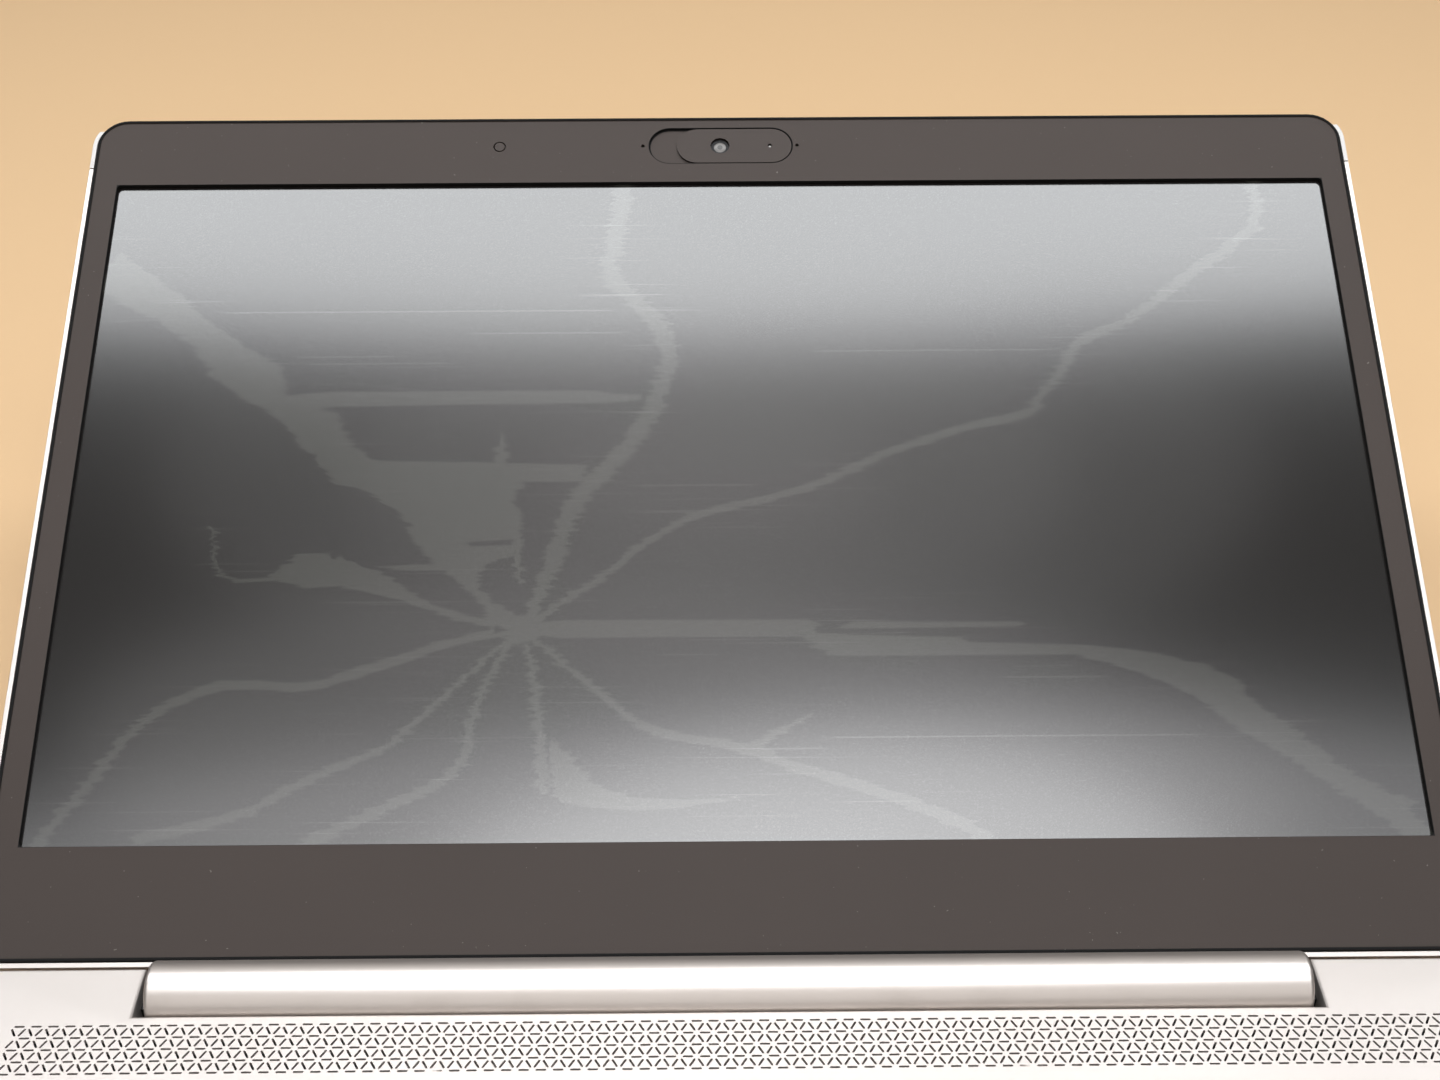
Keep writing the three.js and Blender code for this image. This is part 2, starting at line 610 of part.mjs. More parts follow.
// Deck: the aluminium top of the base with its side walls, and posts for the bottom screws
function deck() {
  const low = SKIRT_EDGE_HEIGHT - DECK_EDGE - PAST;
  const body = slab(baseOutline(0), [low, DECK_HEIGHT], DECK_EDGE);
  const trim = block([-WIDTH, WIDTH], [-2 * BASE_DEPTH, BASE_DEPTH], [low - PAST, SKIRT_EDGE_HEIGHT]);
  const room = slab(baseOutline(WALL), [low, UNDER_DECK_Z]);
  const postFoot = FLOOR_Z + SCREW_BOSS_HEIGHT + CLEARANCE;
  const posts = SCREWS.map(([x, y]) => post(SCREW_POST_RADIUS, x, y, [postFoot, UNDER_DECK_Z + SINK]));
  const threads = SCREWS.map(([x, y]) => {
    const top = BOTTOM_Z + SCREW_HEAD_HEIGHT + SCREW_LENGTH + CLEARANCE;
    return post(SCREW_RADIUS + CLEARANCE, x, y, [postFoot - PAST, top], 8);
  });
  const through = grown([UNDER_DECK_Z, DECK_HEIGHT], PAST);
  const openings = [
    block(around(0, KEYBOARD_SIDE), [KEYBOARD_FRONT, KEYBOARD_BACK], through),
    block(grown(TOUCHPAD_X, CLEARANCE), [TOUCHPAD_FRONT - CLEARANCE, TOUCHPAD_BACK], through),
    block(grown(POWER_BUTTON_X, CLEARANCE), grown(POWER_BUTTON_Y, CLEARANCE), through),
  ];
  const mouths = SOCKETS.map(({ wall, fromHinge, mouth }) => {
    const alongWall = around(-fromHinge, mouth.length / 2 + SOCKET_SHELL + CLEARANCE);
    const up = around(SOCKET_HEIGHT, mouth.height / 2 + SOCKET_SHELL + CLEARANCE);
    return block(fromWall(wall, -PAST, WALL + PAST), alongWall, up);
  });
  const audioHalf = AUDIO_BODY / 2 + CLEARANCE;
  const audioMouth = fromWall(-1, -PAST, WALL + PAST);
  mouths.push(block(audioMouth, around(-AUDIO_FROM_HINGE, audioHalf), around(SOCKET_HEIGHT, audioHalf)));
  const armHoles = HANDS.map(({ hand }) => {
    const wallX = grown([NOTCH_LENGTH / 2, NOTCH_LENGTH / 2 + WALL], PAST);
    return block(handed(hand, wallX), around(0, ARM_HALF + CLEARANCE),
      [ARM_BOTTOM - CLEARANCE, ARM_TOP + CLEARANCE]);
  });
  const exhaust = [];
  for (let y = FAN_FRONT + EXHAUST_PITCH; y < FAN_BACK - EXHAUST_SLOT; y += EXHAUST_PITCH) {
    const height = [SKIRT_EDGE_HEIGHT + EXHAUST_FROM_SEAM, INSIDE_TOP];
    exhaust.push(block(fromWall(-1, -PAST, WALL + PAST), [y, y + EXHAUST_SLOT], height));
  }
  const shell = cut(body, trim, room);
  return cut(join(shell, posts), threads, openings, mouths, armHoles, exhaust);
}

// Bottom cover: a shallow tray with intake slots, foot recesses, screw bosses and standoffs
function bottomCover() {
  const top = SKIRT_EDGE_HEIGHT - CLEARANCE;
  const high = top + FLOOR_EDGE + PAST;
  const body = slab(baseOutline(0), [BOTTOM_Z, high], FLOOR_EDGE);
  const trim = block([-WIDTH, WIDTH], [-2 * BASE_DEPTH, BASE_DEPTH], [top, high + PAST]);
  const room = slab(baseOutline(COVER_WALL), [FLOOR_Z, high + PAST]);
  const bosses = SCREWS.map(([x, y]) => {
    const height = [FLOOR_Z - SINK, FLOOR_Z + SCREW_BOSS_HEIGHT];
    return post(SCREW_HEAD_RADIUS + CLEARANCE + WALL, x, y, height);
  });
  const standoffs = [];
  for (const x of grown([MAINBOARD_LEFT, MAINBOARD_RIGHT], -STANDOFF_INSET)) {
    for (const y of grown([MAINBOARD_FRONT, MAINBOARD_BACK], -STANDOFF_INSET)) {
      standoffs.push(post(STANDOFF_RADIUS, x, y, [FLOOR_Z - SINK, FLOOR_Z + STANDOFF]));
    }
  }
  const rests = HANDS.map(({ hand }) => {
    const x = handed(hand, grown(LEG_X, -BRACKET_REST.sideInset));
    const front = LEG_Y[0] + BRACKET_REST.inset;
    return block(x, [front, front + BRACKET_REST.depth], [FLOOR_Z - SINK, ARM_BOTTOM - CLEARANCE]);
  });
  const finRest = block(
    grown(FIN_STACK_X, -FIN_REST.sideInset),
    grown([FAN_FRONT, FAN_BACK], -FIN_REST.endInset),
    [FLOOR_Z - SINK, BOARD_BOTTOM - CLEARANCE],
  );
  const intake = [];
  const ventY = grown([FAN_FRONT, FAN_BACK], -VENT_FROM_FAN_END);
  for (let x = FAN_LEFT + VENT_FROM_FAN_SIDE; x < FAN_RIGHT - VENT_FROM_FAN_SIDE; x += VENT_PITCH) {
    intake.push(block([x, x + VENT_SLOT], ventY, [BOTTOM_Z - PAST, FLOOR_Z + SINK]));
  }
  const recesses = Object.values(FOOT_PLACES).map((y) => {
    const sides = around(0, FOOT_LENGTH / 2 + CLEARANCE);
    return block(sides, around(y, FOOT_DEPTH / 2 + CLEARANCE), [BOTTOM_Z - PAST, BOTTOM_Z + FOOT_RECESS]);
  });
  const headRooms = SCREWS.map(([x, y]) => {
    const height = [BOTTOM_Z - PAST, BOTTOM_Z + SCREW_HEAD_HEIGHT + CLEARANCE];
    return post(SCREW_HEAD_RADIUS + CLEARANCE, x, y, height);
  });
  const screwHoles = SCREWS.map(([x, y]) => {
    const height = grown([BOTTOM_Z, FLOOR_Z + SCREW_BOSS_HEIGHT], PAST);
    return post(SCREW_RADIUS + CLEARANCE, x, y, height, 8);
  });
  const shell = cut(body, trim, room);
  return cut(join(shell, bosses, standoffs, rests, finRest), intake, recesses, headRooms, screwHoles);
}

addPiece(base, "deck", deck(), ALUMINIUM);
addPiece(base, "bottom_cover", bottomCover(), ALUMINIUM);

for (const [name, y] of Object.entries(FOOT_PLACES)) {
  const across = roundedOutline(around(0, FOOT_LENGTH / 2), around(y, FOOT_DEPTH / 2), FOOT_CORNER);
  const foot = slab(across, [0, BOTTOM_Z + FOOT_RECESS - CLEARANCE]);
  addPiece(base, name, foot, RUBBER);
}

SCREWS.forEach(([x, y], index) => {
  const head = post(SCREW_HEAD_RADIUS, x, y, [BOTTOM_Z, BOTTOM_Z + SCREW_HEAD_HEIGHT]);
  const neck = BOTTOM_Z + SCREW_HEAD_HEIGHT;
  const shank = post(SCREW_RADIUS, x, y, [neck - SINK, neck + SCREW_LENGTH], 8);
  addPiece(base, `cover_screw_${index + 1}`, join(head, shank), DARK_STEEL);
});

// Keyboard: a steel tray, a sheet of joined caps, and the wide keys as pieces that travel
function keyStem(cap, by, height) {
  const half = KEY_STEM / 2 + by;
  return block(around(middleOf(cap.x), half), around(middleOf(cap.y), half), height);
}

function keyboardTray() {
  const x = around(0, KEYBOARD_SIDE + TRAY_LIP);
  const y = [KEYBOARD_FRONT - TRAY_LIP, KEYBOARD_BACK + TRAY_LIP];
  const rimTop = UNDER_DECK_Z - CLEARANCE;
  const body = block(x, y, [KEY_PLATE_BOTTOM, rimTop]);
  const room = block(grown(x, -TRAY_RIM), grown(y, -TRAY_RIM), [KEY_PLATE_TOP, rimTop + PAST]);
  const through = grown([KEY_PLATE_BOTTOM, KEY_PLATE_TOP], PAST);
  const stemHoles = MOVING_CAPS.map((cap) => keyStem(cap, CLEARANCE, through));
  return cut(body, room, stemHoles);
}

function keyField() {
  const low = KEY_PLATE_TOP + CLEARANCE;
  const sheetX = around(0, KEYBOARD_SIDE + KEY_WEB_LIP);
  const sheetY = grown([KEYBOARD_FRONT, KEYBOARD_BACK], KEY_WEB_LIP);
  const sheet = block(sheetX, sheetY, [low, low + KEY_WEB]);
  const keys = FIXED_CAPS.map((cap) => block(cap.x, cap.y, [low + KEY_WEB / 2, KEY_TOP]));
  const windows = MOVING_CAPS.map((cap) => {
    return block(grown(cap.x, CLEARANCE), grown(cap.y, CLEARANCE), grown([low, low + KEY_WEB], PAST));
  });
  return cut(join(sheet, keys), windows);
}

addPiece(base, "keyboard_tray", keyboardTray(), DARK_STEEL);
addPiece(base, "key_field", keyField(), KEY_PLASTIC);
for (const cap of MOVING_CAPS) {
  const top = block(cap.x, cap.y, [KEY_CAP_BOTTOM, KEY_TOP]);
  const stem = keyStem(cap, 0, [KEY_PLATE_BOTTOM, KEY_CAP_BOTTOM + SINK]);
  addPiece(base, cap.name, join(top, stem), KEY_PLASTIC);
}

// Touchpad: glass on its board, and two buttons in front of it
const GLASS_Y = [TOUCHPAD_SPLIT + CLEARANCE, TOUCHPAD_BACK - CLEARANCE];
const glass = block(TOUCHPAD_X, GLASS_Y, [TOUCHPAD_TOP - TOUCHPAD_GLASS, TOUCHPAD_TOP]);
addPiece(base, "touchpad", glass, ALUMINIUM);
const padBoardX = grown(TOUCHPAD_X, TOUCHPAD_BOARD_MARGIN);
const padBoardY = [TOUCHPAD_FRONT - TOUCHPAD_BOARD_MARGIN, TOUCHPAD_BACK + TOUCHPAD_BOARD_MARGIN];
const padBoard = block(padBoardX, padBoardY, [TOUCHPAD_BOARD_BOTTOM, TOUCHPAD_BOARD_TOP]);
addPiece(base, "touchpad_board", padBoard, GREEN_BOARD);
const BUTTON_BOTTOM = TOUCHPAD_BOARD_TOP + TOUCHPAD_BUTTON_TRAVEL + LAYER_GAP;
for (const { side, hand } of HANDS) {
  const x = handed(hand, [CLEARANCE / 2, TOUCHPAD_WIDTH / 2]);
  const button = block(x, [TOUCHPAD_FRONT, TOUCHPAD_SPLIT], [BUTTON_BOTTOM, TOUCHPAD_TOP]);
  addPiece(base, `touchpad_button_${side}`, button, ALUMINIUM);
}

const powerTop = DECK_HEIGHT - POWER_BUTTON_SINK;
const powerButton = block(POWER_BUTTON_X, POWER_BUTTON_Y, [powerTop - POWER_BUTTON_THICKNESS, powerTop]);
addPiece(base, "power_button", powerButton, ALUMINIUM);

// Mainboard with its chips, and the modules that sit on it
const chipTop = BOARD_TOP + CHIP_HEIGHT;
const boardX = [MAINBOARD_LEFT, MAINBOARD_RIGHT];
const boardY = [MAINBOARD_FRONT, MAINBOARD_BACK];
const processorX = around(PROCESSOR_X, PROCESSOR_SIZE / 2);
const processorY = around(-PROCESSOR_FROM_HINGE, PROCESSOR_SIZE / 2);
const memoryX = [PROCESSOR_X + MEMORY.fromProcessor, PROCESSOR_X + MEMORY.fromProcessor + MEMORY.length];
const memoryFront = MAINBOARD_FRONT + MEMORY.fromBoardFront;
const memoryY = [memoryFront, memoryFront + MEMORY.depth];
const storageX = [PROCESSOR_X + STORAGE.fromProcessor, PROCESSOR_X + STORAGE.fromProcessor + STORAGE.length];
const storageBack = MAINBOARD_BACK - STORAGE.fromBoardBack;
const storageY = [storageBack - STORAGE.depth, storageBack];
const wirelessLeft = memoryX[1] + WIRELESS.fromMemory;
const wirelessX = [wirelessLeft, wirelessLeft + WIRELESS.length];
const wirelessY = [memoryFront, memoryFront + WIRELESS.depth];

// The socket at a module's left edge, part of the mainboard
function moduleSocket([left], y) {
  const x = [left - MODULE_SOCKET_WIDTH, left - CLEARANCE];
  return block(x, y, [BOARD_TOP - SINK, BOARD_TOP + MODULE_SOCKET_HEIGHT]);
}

const mainboard = join(
  block(boardX, boardY, [BOARD_BOTTOM, BOARD_TOP]),
  block(processorX, processorY, [BOARD_TOP - SINK, chipTop]),
  moduleSocket(memoryX, memoryY),
  moduleSocket(storageX, storageY),
  moduleSocket(wirelessX, wirelessY),
);
addPiece(base, "mainboard", mainboard, GREEN_BOARD);

function chipModule(x, y, chips) {
  const low = BOARD_TOP + CLEARANCE;
  const plate = block(x, y, [low, low + BOARD]);
  const pitch = (x[1] - x[0]) / chips;
  const packages = Array.from({ length: chips }, (_, i) => {
    const chipX = around(x[0] + pitch * (i + 0.5), (pitch - CHIP_GAP) / 2);
    return block(chipX, grown(y, -CHIP_MARGIN), [low + BOARD - SINK, low + BOARD + CHIP_HEIGHT]);
  });
  return join(plate, packages);
}

addPiece(base, "memory_module", chipModule(memoryX, memoryY, MEMORY.chips), GREEN_BOARD);
addPiece(base, "storage_module", chipModule(storageX, storageY, STORAGE.chips), GREEN_BOARD);
addPiece(base, "wireless_card", chipModule(wirelessX, wirelessY, WIRELESS.chips), BRIGHT_STEEL);

const batteryX = around(0, BATTERY_WIDTH / 2);
const batteryZ = [FLOOR_Z + CLEARANCE, INSIDE_TOP];
const batteryY = [BATTERY_FRONT, BATTERY_BACK];
const battery = slab(roundedOutline(batteryX, batteryY, BATTERY_CORNER), batteryZ);
const cellSeams = Array.from({ length: BATTERY_CELLS - 1 }, (_, i) => {
  const x = around(batteryX[0] + ((i + 1) * BATTERY_WIDTH) / BATTERY_CELLS, CELL_SEAM.width / 2);
  return block(x, grown(batteryY, -CELL_SEAM.inset), [batteryZ[1] - CELL_SEAM.depth, batteryZ[1] + PAST]);
});
addPiece(base, "battery_pack", cut(battery, cellSeams), BATTERY_FILM);

// Cooling: blower housing, its rotor on a pin, fins at the wall, heat pipe and heat spreader
const fanX = (FAN_LEFT + FAN_RIGHT) / 2;
const fanY = (FAN_FRONT + FAN_BACK) / 2;
const FAN_Z = [FLOOR_Z + CLEARANCE, INSIDE_TOP];
const ROTOR_Z = [FAN_Z[0] + FAN_PLATE + CLEARANCE, FAN_Z[1] - FAN_PLATE - CLEARANCE];

function fanHousing() {
  const box = slab(roundedOutline([FAN_LEFT, FAN_RIGHT], [FAN_FRONT, FAN_BACK], FAN_CORNER), FAN_Z);
  const roomZ = [FAN_Z[0] + FAN_PLATE, FAN_Z[1] - FAN_PLATE];
  const room = post(FAN_RADIUS + FAN_ROOM, fanX, fanY, roomZ, 32);
  const outlet = block([FAN_LEFT - PAST, fanX], around(fanY, FAN_RADIUS), roomZ);
  const topInlet = post(FAN_TOP_INLET, fanX, fanY, grown([roomZ[1], FAN_Z[1]], PAST), 24);
  const floorZ = [FAN_Z[0], roomZ[0]];
  const floorInlet = cut(
    post(FAN_FLOOR_INLET, fanX, fanY, grown(floorZ, PAST), 24),
    post(FAN_HUB_RADIUS, fanX, fanY, grown(floorZ, 2 * PAST)),
    block(around(fanX, FAN_SPOKE / 2), around(fanY, FAN_RADIUS), grown(floorZ, 2 * PAST)),
  );
  const pin = post(FAN_PIN_RADIUS, fanX, fanY, [FAN_Z[0], ROTOR_Z[1] - FAN_HUB_CAP - CLEARANCE]);
  return join(cut(box, room, outlet, topInlet, floorInlet), pin);
}

function fanRotor() {
  const hub = post(FAN_HUB_RADIUS, fanX, fanY, ROTOR_Z, 24);
  const boreZ = [ROTOR_Z[0] - PAST, ROTOR_Z[1] - FAN_HUB_CAP];
  const bore = post(FAN_PIN_RADIUS + CLEARANCE, fanX, fanY, boreZ);
  const blades = Array.from({ length: FAN_BLADES }, (_, i) => {
    const blade = new THREE.BoxGeometry(FAN_BLADE_LENGTH, FAN_BLADE_THICKNESS, ROTOR_Z[1] - ROTOR_Z[0]);
    blade.translate(FAN_BLADE_LENGTH / 2, 0, 0);
    blade.rotateZ(FAN_BLADE_SWEEP);
    blade.translate(FAN_HUB_RADIUS - FAN_BLADE_ROOT, 0, 0);
    blade.rotateZ((i * 2 * Math.PI) / FAN_BLADES);
    blade.translate(fanX, fanY, middleOf(ROTOR_Z));
    return solid(blade);
  });
  return cut(join(hub, blades), bore);
}

addPiece(base, "fan_housing", fanHousing(), BLACK_PLASTIC);
addPiece(base, "fan_rotor", fanRotor(), BLACK_PLASTIC);

const spreaderZ = [chipTop + CLEARANCE, chipTop + CLEARANCE + SPREADER_THICKNESS];
const spreader = block(grown(processorX, SPREADER_MARGIN), grown(processorY, SPREADER_MARGIN), spreaderZ);
addPiece(base, "heat_spreader", spreader, COPPER);

const PIPE_Z = [spreaderZ[1] + LAYER_GAP, spreaderZ[1] + LAYER_GAP + HEAT_PIPE_THICKNESS];
const finY = [FAN_FRONT + FIN_FROM_FAN_FRONT, FAN_BACK - FIN_FROM_FAN_BACK];
const finZ = [BOARD_BOTTOM, PIPE_Z[0] - LAYER_GAP];
const finBase = block(FIN_STACK_X, finY, [finZ[1] - FIN_THICKNESS, finZ[1]]);
const finCount = Math.floor((finY[1] - finY[0]) / FIN_PITCH);
const fins = Array.from({ length: finCount }, (_, i) => {
  const low = finY[0] + i * FIN_PITCH;
  return block(FIN_STACK_X, [low, low + FIN_THICKNESS], finZ);
});
addPiece(base, "fin_stack", join(finBase, fins), COPPER);

const pipeBack = FAN_BACK + HEAT_PIPE_FROM_FAN + HEAT_PIPE_WIDTH / 2;
const pipeLeft = middleOf(FIN_STACK_X);
const heatPipe = strip(
  [
    [PROCESSOR_X, -PROCESSOR_FROM_HINGE],
    [PROCESSOR_X, pipeBack - HEAT_PIPE_BEND],
    [PROCESSOR_X - HEAT_PIPE_BEND, pipeBack],
    [pipeLeft + HEAT_PIPE_BEND, pipeBack],
    [pipeLeft, pipeBack - HEAT_PIPE_BEND],
    [pipeLeft, finY[0] + HEAT_PIPE_FROM_FIN_END],
  ],
  HEAT_PIPE_WIDTH,
  PIPE_Z,
  12,
);
addPiece(base, "heat_pipe", heatPipe, COPPER);

for (const { side, hand } of HANDS) {
  const x = handed(hand, SPEAKER_X);
  const back = NOTCH_FRONT - WALL - CLEARANCE;
  const y = [back - SPEAKER_DEPTH, back];
  const top = UNDER_DECK_Z - CLEARANCE;
  const box = slab(roundedOutline(x, y, SPEAKER_CORNER), [top - SPEAKER_HEIGHT, top]);
  const mouth = roundedOutline(grown(x, -CONE.endInset), grown(y, -CONE.sideInset), CONE.corner);
  const cone = slab(mouth, [top - CONE.depth, top + PAST]);
  addPiece(base, `speaker_${side}`, cut(box, cone), BLACK_PLASTIC);
}

// Sockets in the side walls: a steel shell with a tongue, and a round audio jack
for (const { name, wall, fromHinge, mouth } of SOCKETS) {
  const along = around(-fromHinge, mouth.length / 2);
  const up = around(SOCKET_HEIGHT, mouth.height / 2);
  const shellX = fromWall(wall, CLEARANCE, mouth.depth + SOCKET_BACK);
  const shell = block(shellX, grown(along, SOCKET_SHELL), grown(up, SOCKET_SHELL));
  const room = block(fromWall(wall, -PAST, mouth.depth), along, up);
  const tongueX = fromWall(wall, TONGUE_SETBACK, mouth.depth + SINK);
  const tongueZ = around(SOCKET_HEIGHT, mouth.tongue / 2);
  const tongue = block(tongueX, grown(along, -TONGUE_SIDE_GAP), tongueZ);
  addPiece(base, name, join(cut(shell, room), tongue), BRIGHT_STEEL);
}
const audioY = around(-AUDIO_FROM_HINGE, AUDIO_BODY / 2);
const audioX = fromWall(-1, CLEARANCE, AUDIO_DEPTH);
const audioBody = block(audioX, audioY, around(SOCKET_HEIGHT, AUDIO_BODY / 2));
const boreX = fromWall(-1, -PAST, AUDIO_DEPTH - SOCKET_BACK);
const audioBore = rod(AUDIO_BORE, boreX, -AUDIO_FROM_HINGE, SOCKET_HEIGHT, 20);
addPiece(base, "audio_socket", cut(audioBody, audioBore), BLACK_PLASTIC);

// Hinges: a bracket in each ear of the base holds the pin inside the barrel, and a leaf on the
// same pin carries the lid
for (const { side, hand } of HANDS) {
  const boreRadius = PIN_RADIUS + CLEARANCE;
  const knuckle = rod(KNUCKLE_RADIUS, handed(hand, BRACKET_KNUCKLE), 0, HINGE_Z);
  const armX = handed(hand, [BRACKET_KNUCKLE[0], LEG_X[1]]);
  const arm = block(armX, around(0, ARM_HALF), [ARM_BOTTOM, ARM_TOP]);
  const leg = block(handed(hand, LEG_X), LEG_Y, [ARM_BOTTOM, ARM_TOP]);
  const pinRoom = rod(boreRadius, handed(hand, grown(BRACKET_KNUCKLE, PAST)), 0, HINGE_Z);
  addPiece(base, `hinge_bracket_${side}`, cut(join(knuckle, arm, leg), pinRoom), DARK_STEEL);

  const pin = rod(PIN_RADIUS, handed(hand, [PIN_START, PIN_END]), 0, 0);
  addPiece(lid, `hinge_pin_${side}`, pin, BRIGHT_STEEL);

  const leafX = handed(hand, LEAF_KNUCKLE);
  const plateZ = [LEAF_BACK, LEAF_BACK + LEAF_THICKNESS];
  const ring = rod(KNUCKLE_RADIUS, leafX, 0, 0);
  const web = block(leafX, [0, LEAF_WEB], [LEAF_BACK, 0]);
  const plate = block(leafX, [0, LEAF_LENGTH], plateZ);
  const leafRoom = rod(boreRadius, grown(leafX, PAST), 0, 0);
  addPiece(lid, `hinge_leaf_${side}`, cut(join(ring, web, plate), leafRoom), DARK_STEEL);
}

const FLANGE_SIDE = BARREL_LENGTH / 2 - FLANGE_FROM_BARREL_END;

// Barrel cover: a tube round the hinge axis with bevelled ends and a flange that holds it in the lid
function barrelCover() {
  const half = BARREL_LENGTH / 2;
  const bevelled = BARREL_RADIUS - BARREL_END_DROP;
  const profile = [
    [BARREL_BORE, -half],
    [bevelled, -half],
    [BARREL_RADIUS, -half + BARREL_END_BEVEL],
    [BARREL_RADIUS, half - BARREL_END_BEVEL],
    [bevelled, half],
    [BARREL_BORE, half],
    [BARREL_BORE, -half],
  ];
  const tube = new THREE.LatheGeometry(profile.map(([r, x]) => new THREE.Vector2(r, x)), 32);
  tube.rotateZ(-Math.PI / 2);
  const flangeX = around(0, FLANGE_SIDE);
  const flange = block(flangeX, [0, FLANGE_LENGTH], [FLANGE_BACK, FLANGE_BACK + FLANGE_THICKNESS]);
  const flangeWeb = block(flangeX, [0, FLANGE_WEB], [FLANGE_BACK, BARREL_WALL / 2 - BARREL_RADIUS]);
  const slotZ = [LEAF_BACK - CLEARANCE, LEAF_BACK + LEAF_THICKNESS + 2 * CLEARANCE];
  const slotY = [0, FLANGE_LENGTH + PAST];
  const leafSlots = HANDS.map(({ hand }) => {
    return block(grown(handed(hand, LEAF_KNUCKLE), CLEARANCE), slotY, slotZ);
  });
  const cableSlot = block(around(CABLE_X, CABLE_WIDTH / 2 + CLEARANCE), slotY, slotZ);
  return cut(join(solid(tube), flange, flangeWeb), leafSlots, cableSlot);
}

addPiece(lid, "hinge_barrel_cover", barrelCover(), BARREL_METAL);

// Lid cover: a thin aluminium shell, with a plastic strip along its top edge for the aerials
const lidOutline = (inset) =>
  roundedOutline(
    around(0, SIDE - inset),
    [LID_BOTTOM + inset, LID_TOP - inset],
    LID_TOP_CORNER - inset,
    LID_BOTTOM_CORNER - inset,
  );

function lidShell() {
  const proud = BEZEL_FRONT + LID_BACK_EDGE + PAST;
  const body = slab(lidOutline(0), [LID_BACK, proud], LID_BACK_EDGE);
  const trim = block([-WIDTH, WIDTH], [0, 2 * LID_TOP], [BEZEL_FRONT, proud + PAST]);
  const room = slab(lidOutline(RIM), [COVER_INSIDE, proud + PAST]);
  return cut(body, trim, room);
}

const shell = lidShell();
const antennaSplit = LID_TOP - ANTENNA_STRIP;
const farX = [-WIDTH, WIDTH];
const aboveSplit = block(farX, [antennaSplit - CLEARANCE / 2, 2 * LID_TOP], around(0, WIDTH));
const belowSplit = block(farX, [-LID_TOP, antennaSplit + CLEARANCE / 2], around(0, WIDTH));
const barrelSlot = block(
  around(0, FLANGE_SIDE + CLEARANCE),
  [LID_BOTTOM - PAST, BEZEL_BOTTOM],
  [COVER_INSIDE, LEAF_BACK + LEAF_THICKNESS + CLEARANCE],
);
const barrelRoom = rod(BARREL_RADIUS + BARREL_TO_LID, around(0, NOTCH_LENGTH / 2), 0, 0);
addPiece(lid, "lid_cover", cut(shell, aboveSplit, barrelSlot, barrelRoom), ALUMINIUM);
const bezelRoomZ = [BEZEL_BACK - CLEARANCE, BEZEL_FRONT + PAST];
const bezelRoom = block(farX, [LID_TOP - STRIP_RIM_CUT, 2 * LID_TOP], bezelRoomZ);
addPiece(lid, "antenna_strip", cut(shell, belowSplit, bezelRoom), ANTENNA_PLASTIC);

// Bezel: a frame round the screen with a soft lip, a track for the shutter and small holes
const WEBCAM_Y = BEZEL_TOP_EDGE - WEBCAM_BELOW_TOP;
const TRACK_BACK = BEZEL_BACK + SHUTTER_TRACK_FLOOR;
const SHUTTER_X = [SHUTTER_RIGHT - SHUTTER_LENGTH, SHUTTER_RIGHT];
const SHUTTER_Y = around(WEBCAM_Y, SHUTTER_HEIGHT / 2);
const SHUTTER_Z = [TRACK_BACK + LAYER_GAP, TRACK_BACK + LAYER_GAP + SHUTTER_THICKNESS];

const bezelOutline = (inset) =>
  roundedOutline(
    around(0, BEZEL_SIDE_EDGE - inset),
    [BEZEL_BOTTOM + inset, BEZEL_TOP_EDGE - inset],
    LID_TOP_CORNER - BEZEL_TOP_INSET - inset,
    LID_BOTTOM_CORNER - RIM - CLEARANCE - inset,
  );
const openingOutline = roundedOutline(
  around(0, SCREEN_SIDE),
  [SCREEN_BOTTOM, SCREEN_TOP],
  OPENING_CORNER,
  OPENING_CORNER,
);

function screenBezel() {
  const frontZ = [BEZEL_BACK, BEZEL_FRONT + LIP_HEIGHT];
  const body = slab(bezelOutline(0), frontZ);
  const hollow = slab(bezelOutline(LIP_WIDTH), [BEZEL_FRONT, frontZ[1] + PAST]);
  const opening = slab(openingOutline, grown(frontZ, PAST));
  const trackX = grown([SHUTTER_X[0] - SHUTTER_TRAVEL, SHUTTER_X[1]], SHUTTER_SIDE_GAP);
  const trackY = grown(SHUTTER_Y, SHUTTER_SIDE_GAP);
  const trackRound = SHUTTER_HEIGHT / 2 + SHUTTER_SIDE_GAP - ROUND_END_FLAT;
  const track = slab(roundedOutline(trackX, trackY, trackRound), [TRACK_BACK, frontZ[1]]);
  const lensHole = post(LENS_RADIUS + CLEARANCE, 0, WEBCAM_Y, grown(frontZ, PAST));
  const lampHole = post(SHUTTER_LAMP_RADIUS, SHUTTER_LAMP_X, WEBCAM_Y, grown(frontZ, PAST), 8);
  const sensorHole = post(SENSOR_RADIUS + SENSOR_GAP, SENSOR_X, WEBCAM_Y, grown(frontZ, PAST));
  const soundHoles = [-1, 1].map((hand) => {
    return post(MICROPHONE_RADIUS, hand * MICROPHONE_X, WEBCAM_Y, grown(frontZ, PAST), 8);
  });
  return cut(body, hollow, opening, track, lensHole, lampHole, sensorHole, soundHoles);
}

addPiece(lid, "screen_bezel", screenBezel(), BEZEL_PLASTIC);
const shutterRound = SHUTTER_HEIGHT / 2 - ROUND_END_FLAT;
const shutter = slab(roundedOutline(SHUTTER_X, SHUTTER_Y, shutterRound), SHUTTER_Z);
const shutterHole = post(LENS_RADIUS + LAYER_GAP, 0, WEBCAM_Y, grown(SHUTTER_Z, PAST));
const shutterLamp = post(SHUTTER_LAMP_RADIUS, SHUTTER_LAMP_X, WEBCAM_Y, grown(SHUTTER_Z, PAST), 8);
addPiece(lid, "webcam_shutter", cut(shutter, shutterHole, shutterLamp), BEZEL_PLASTIC);

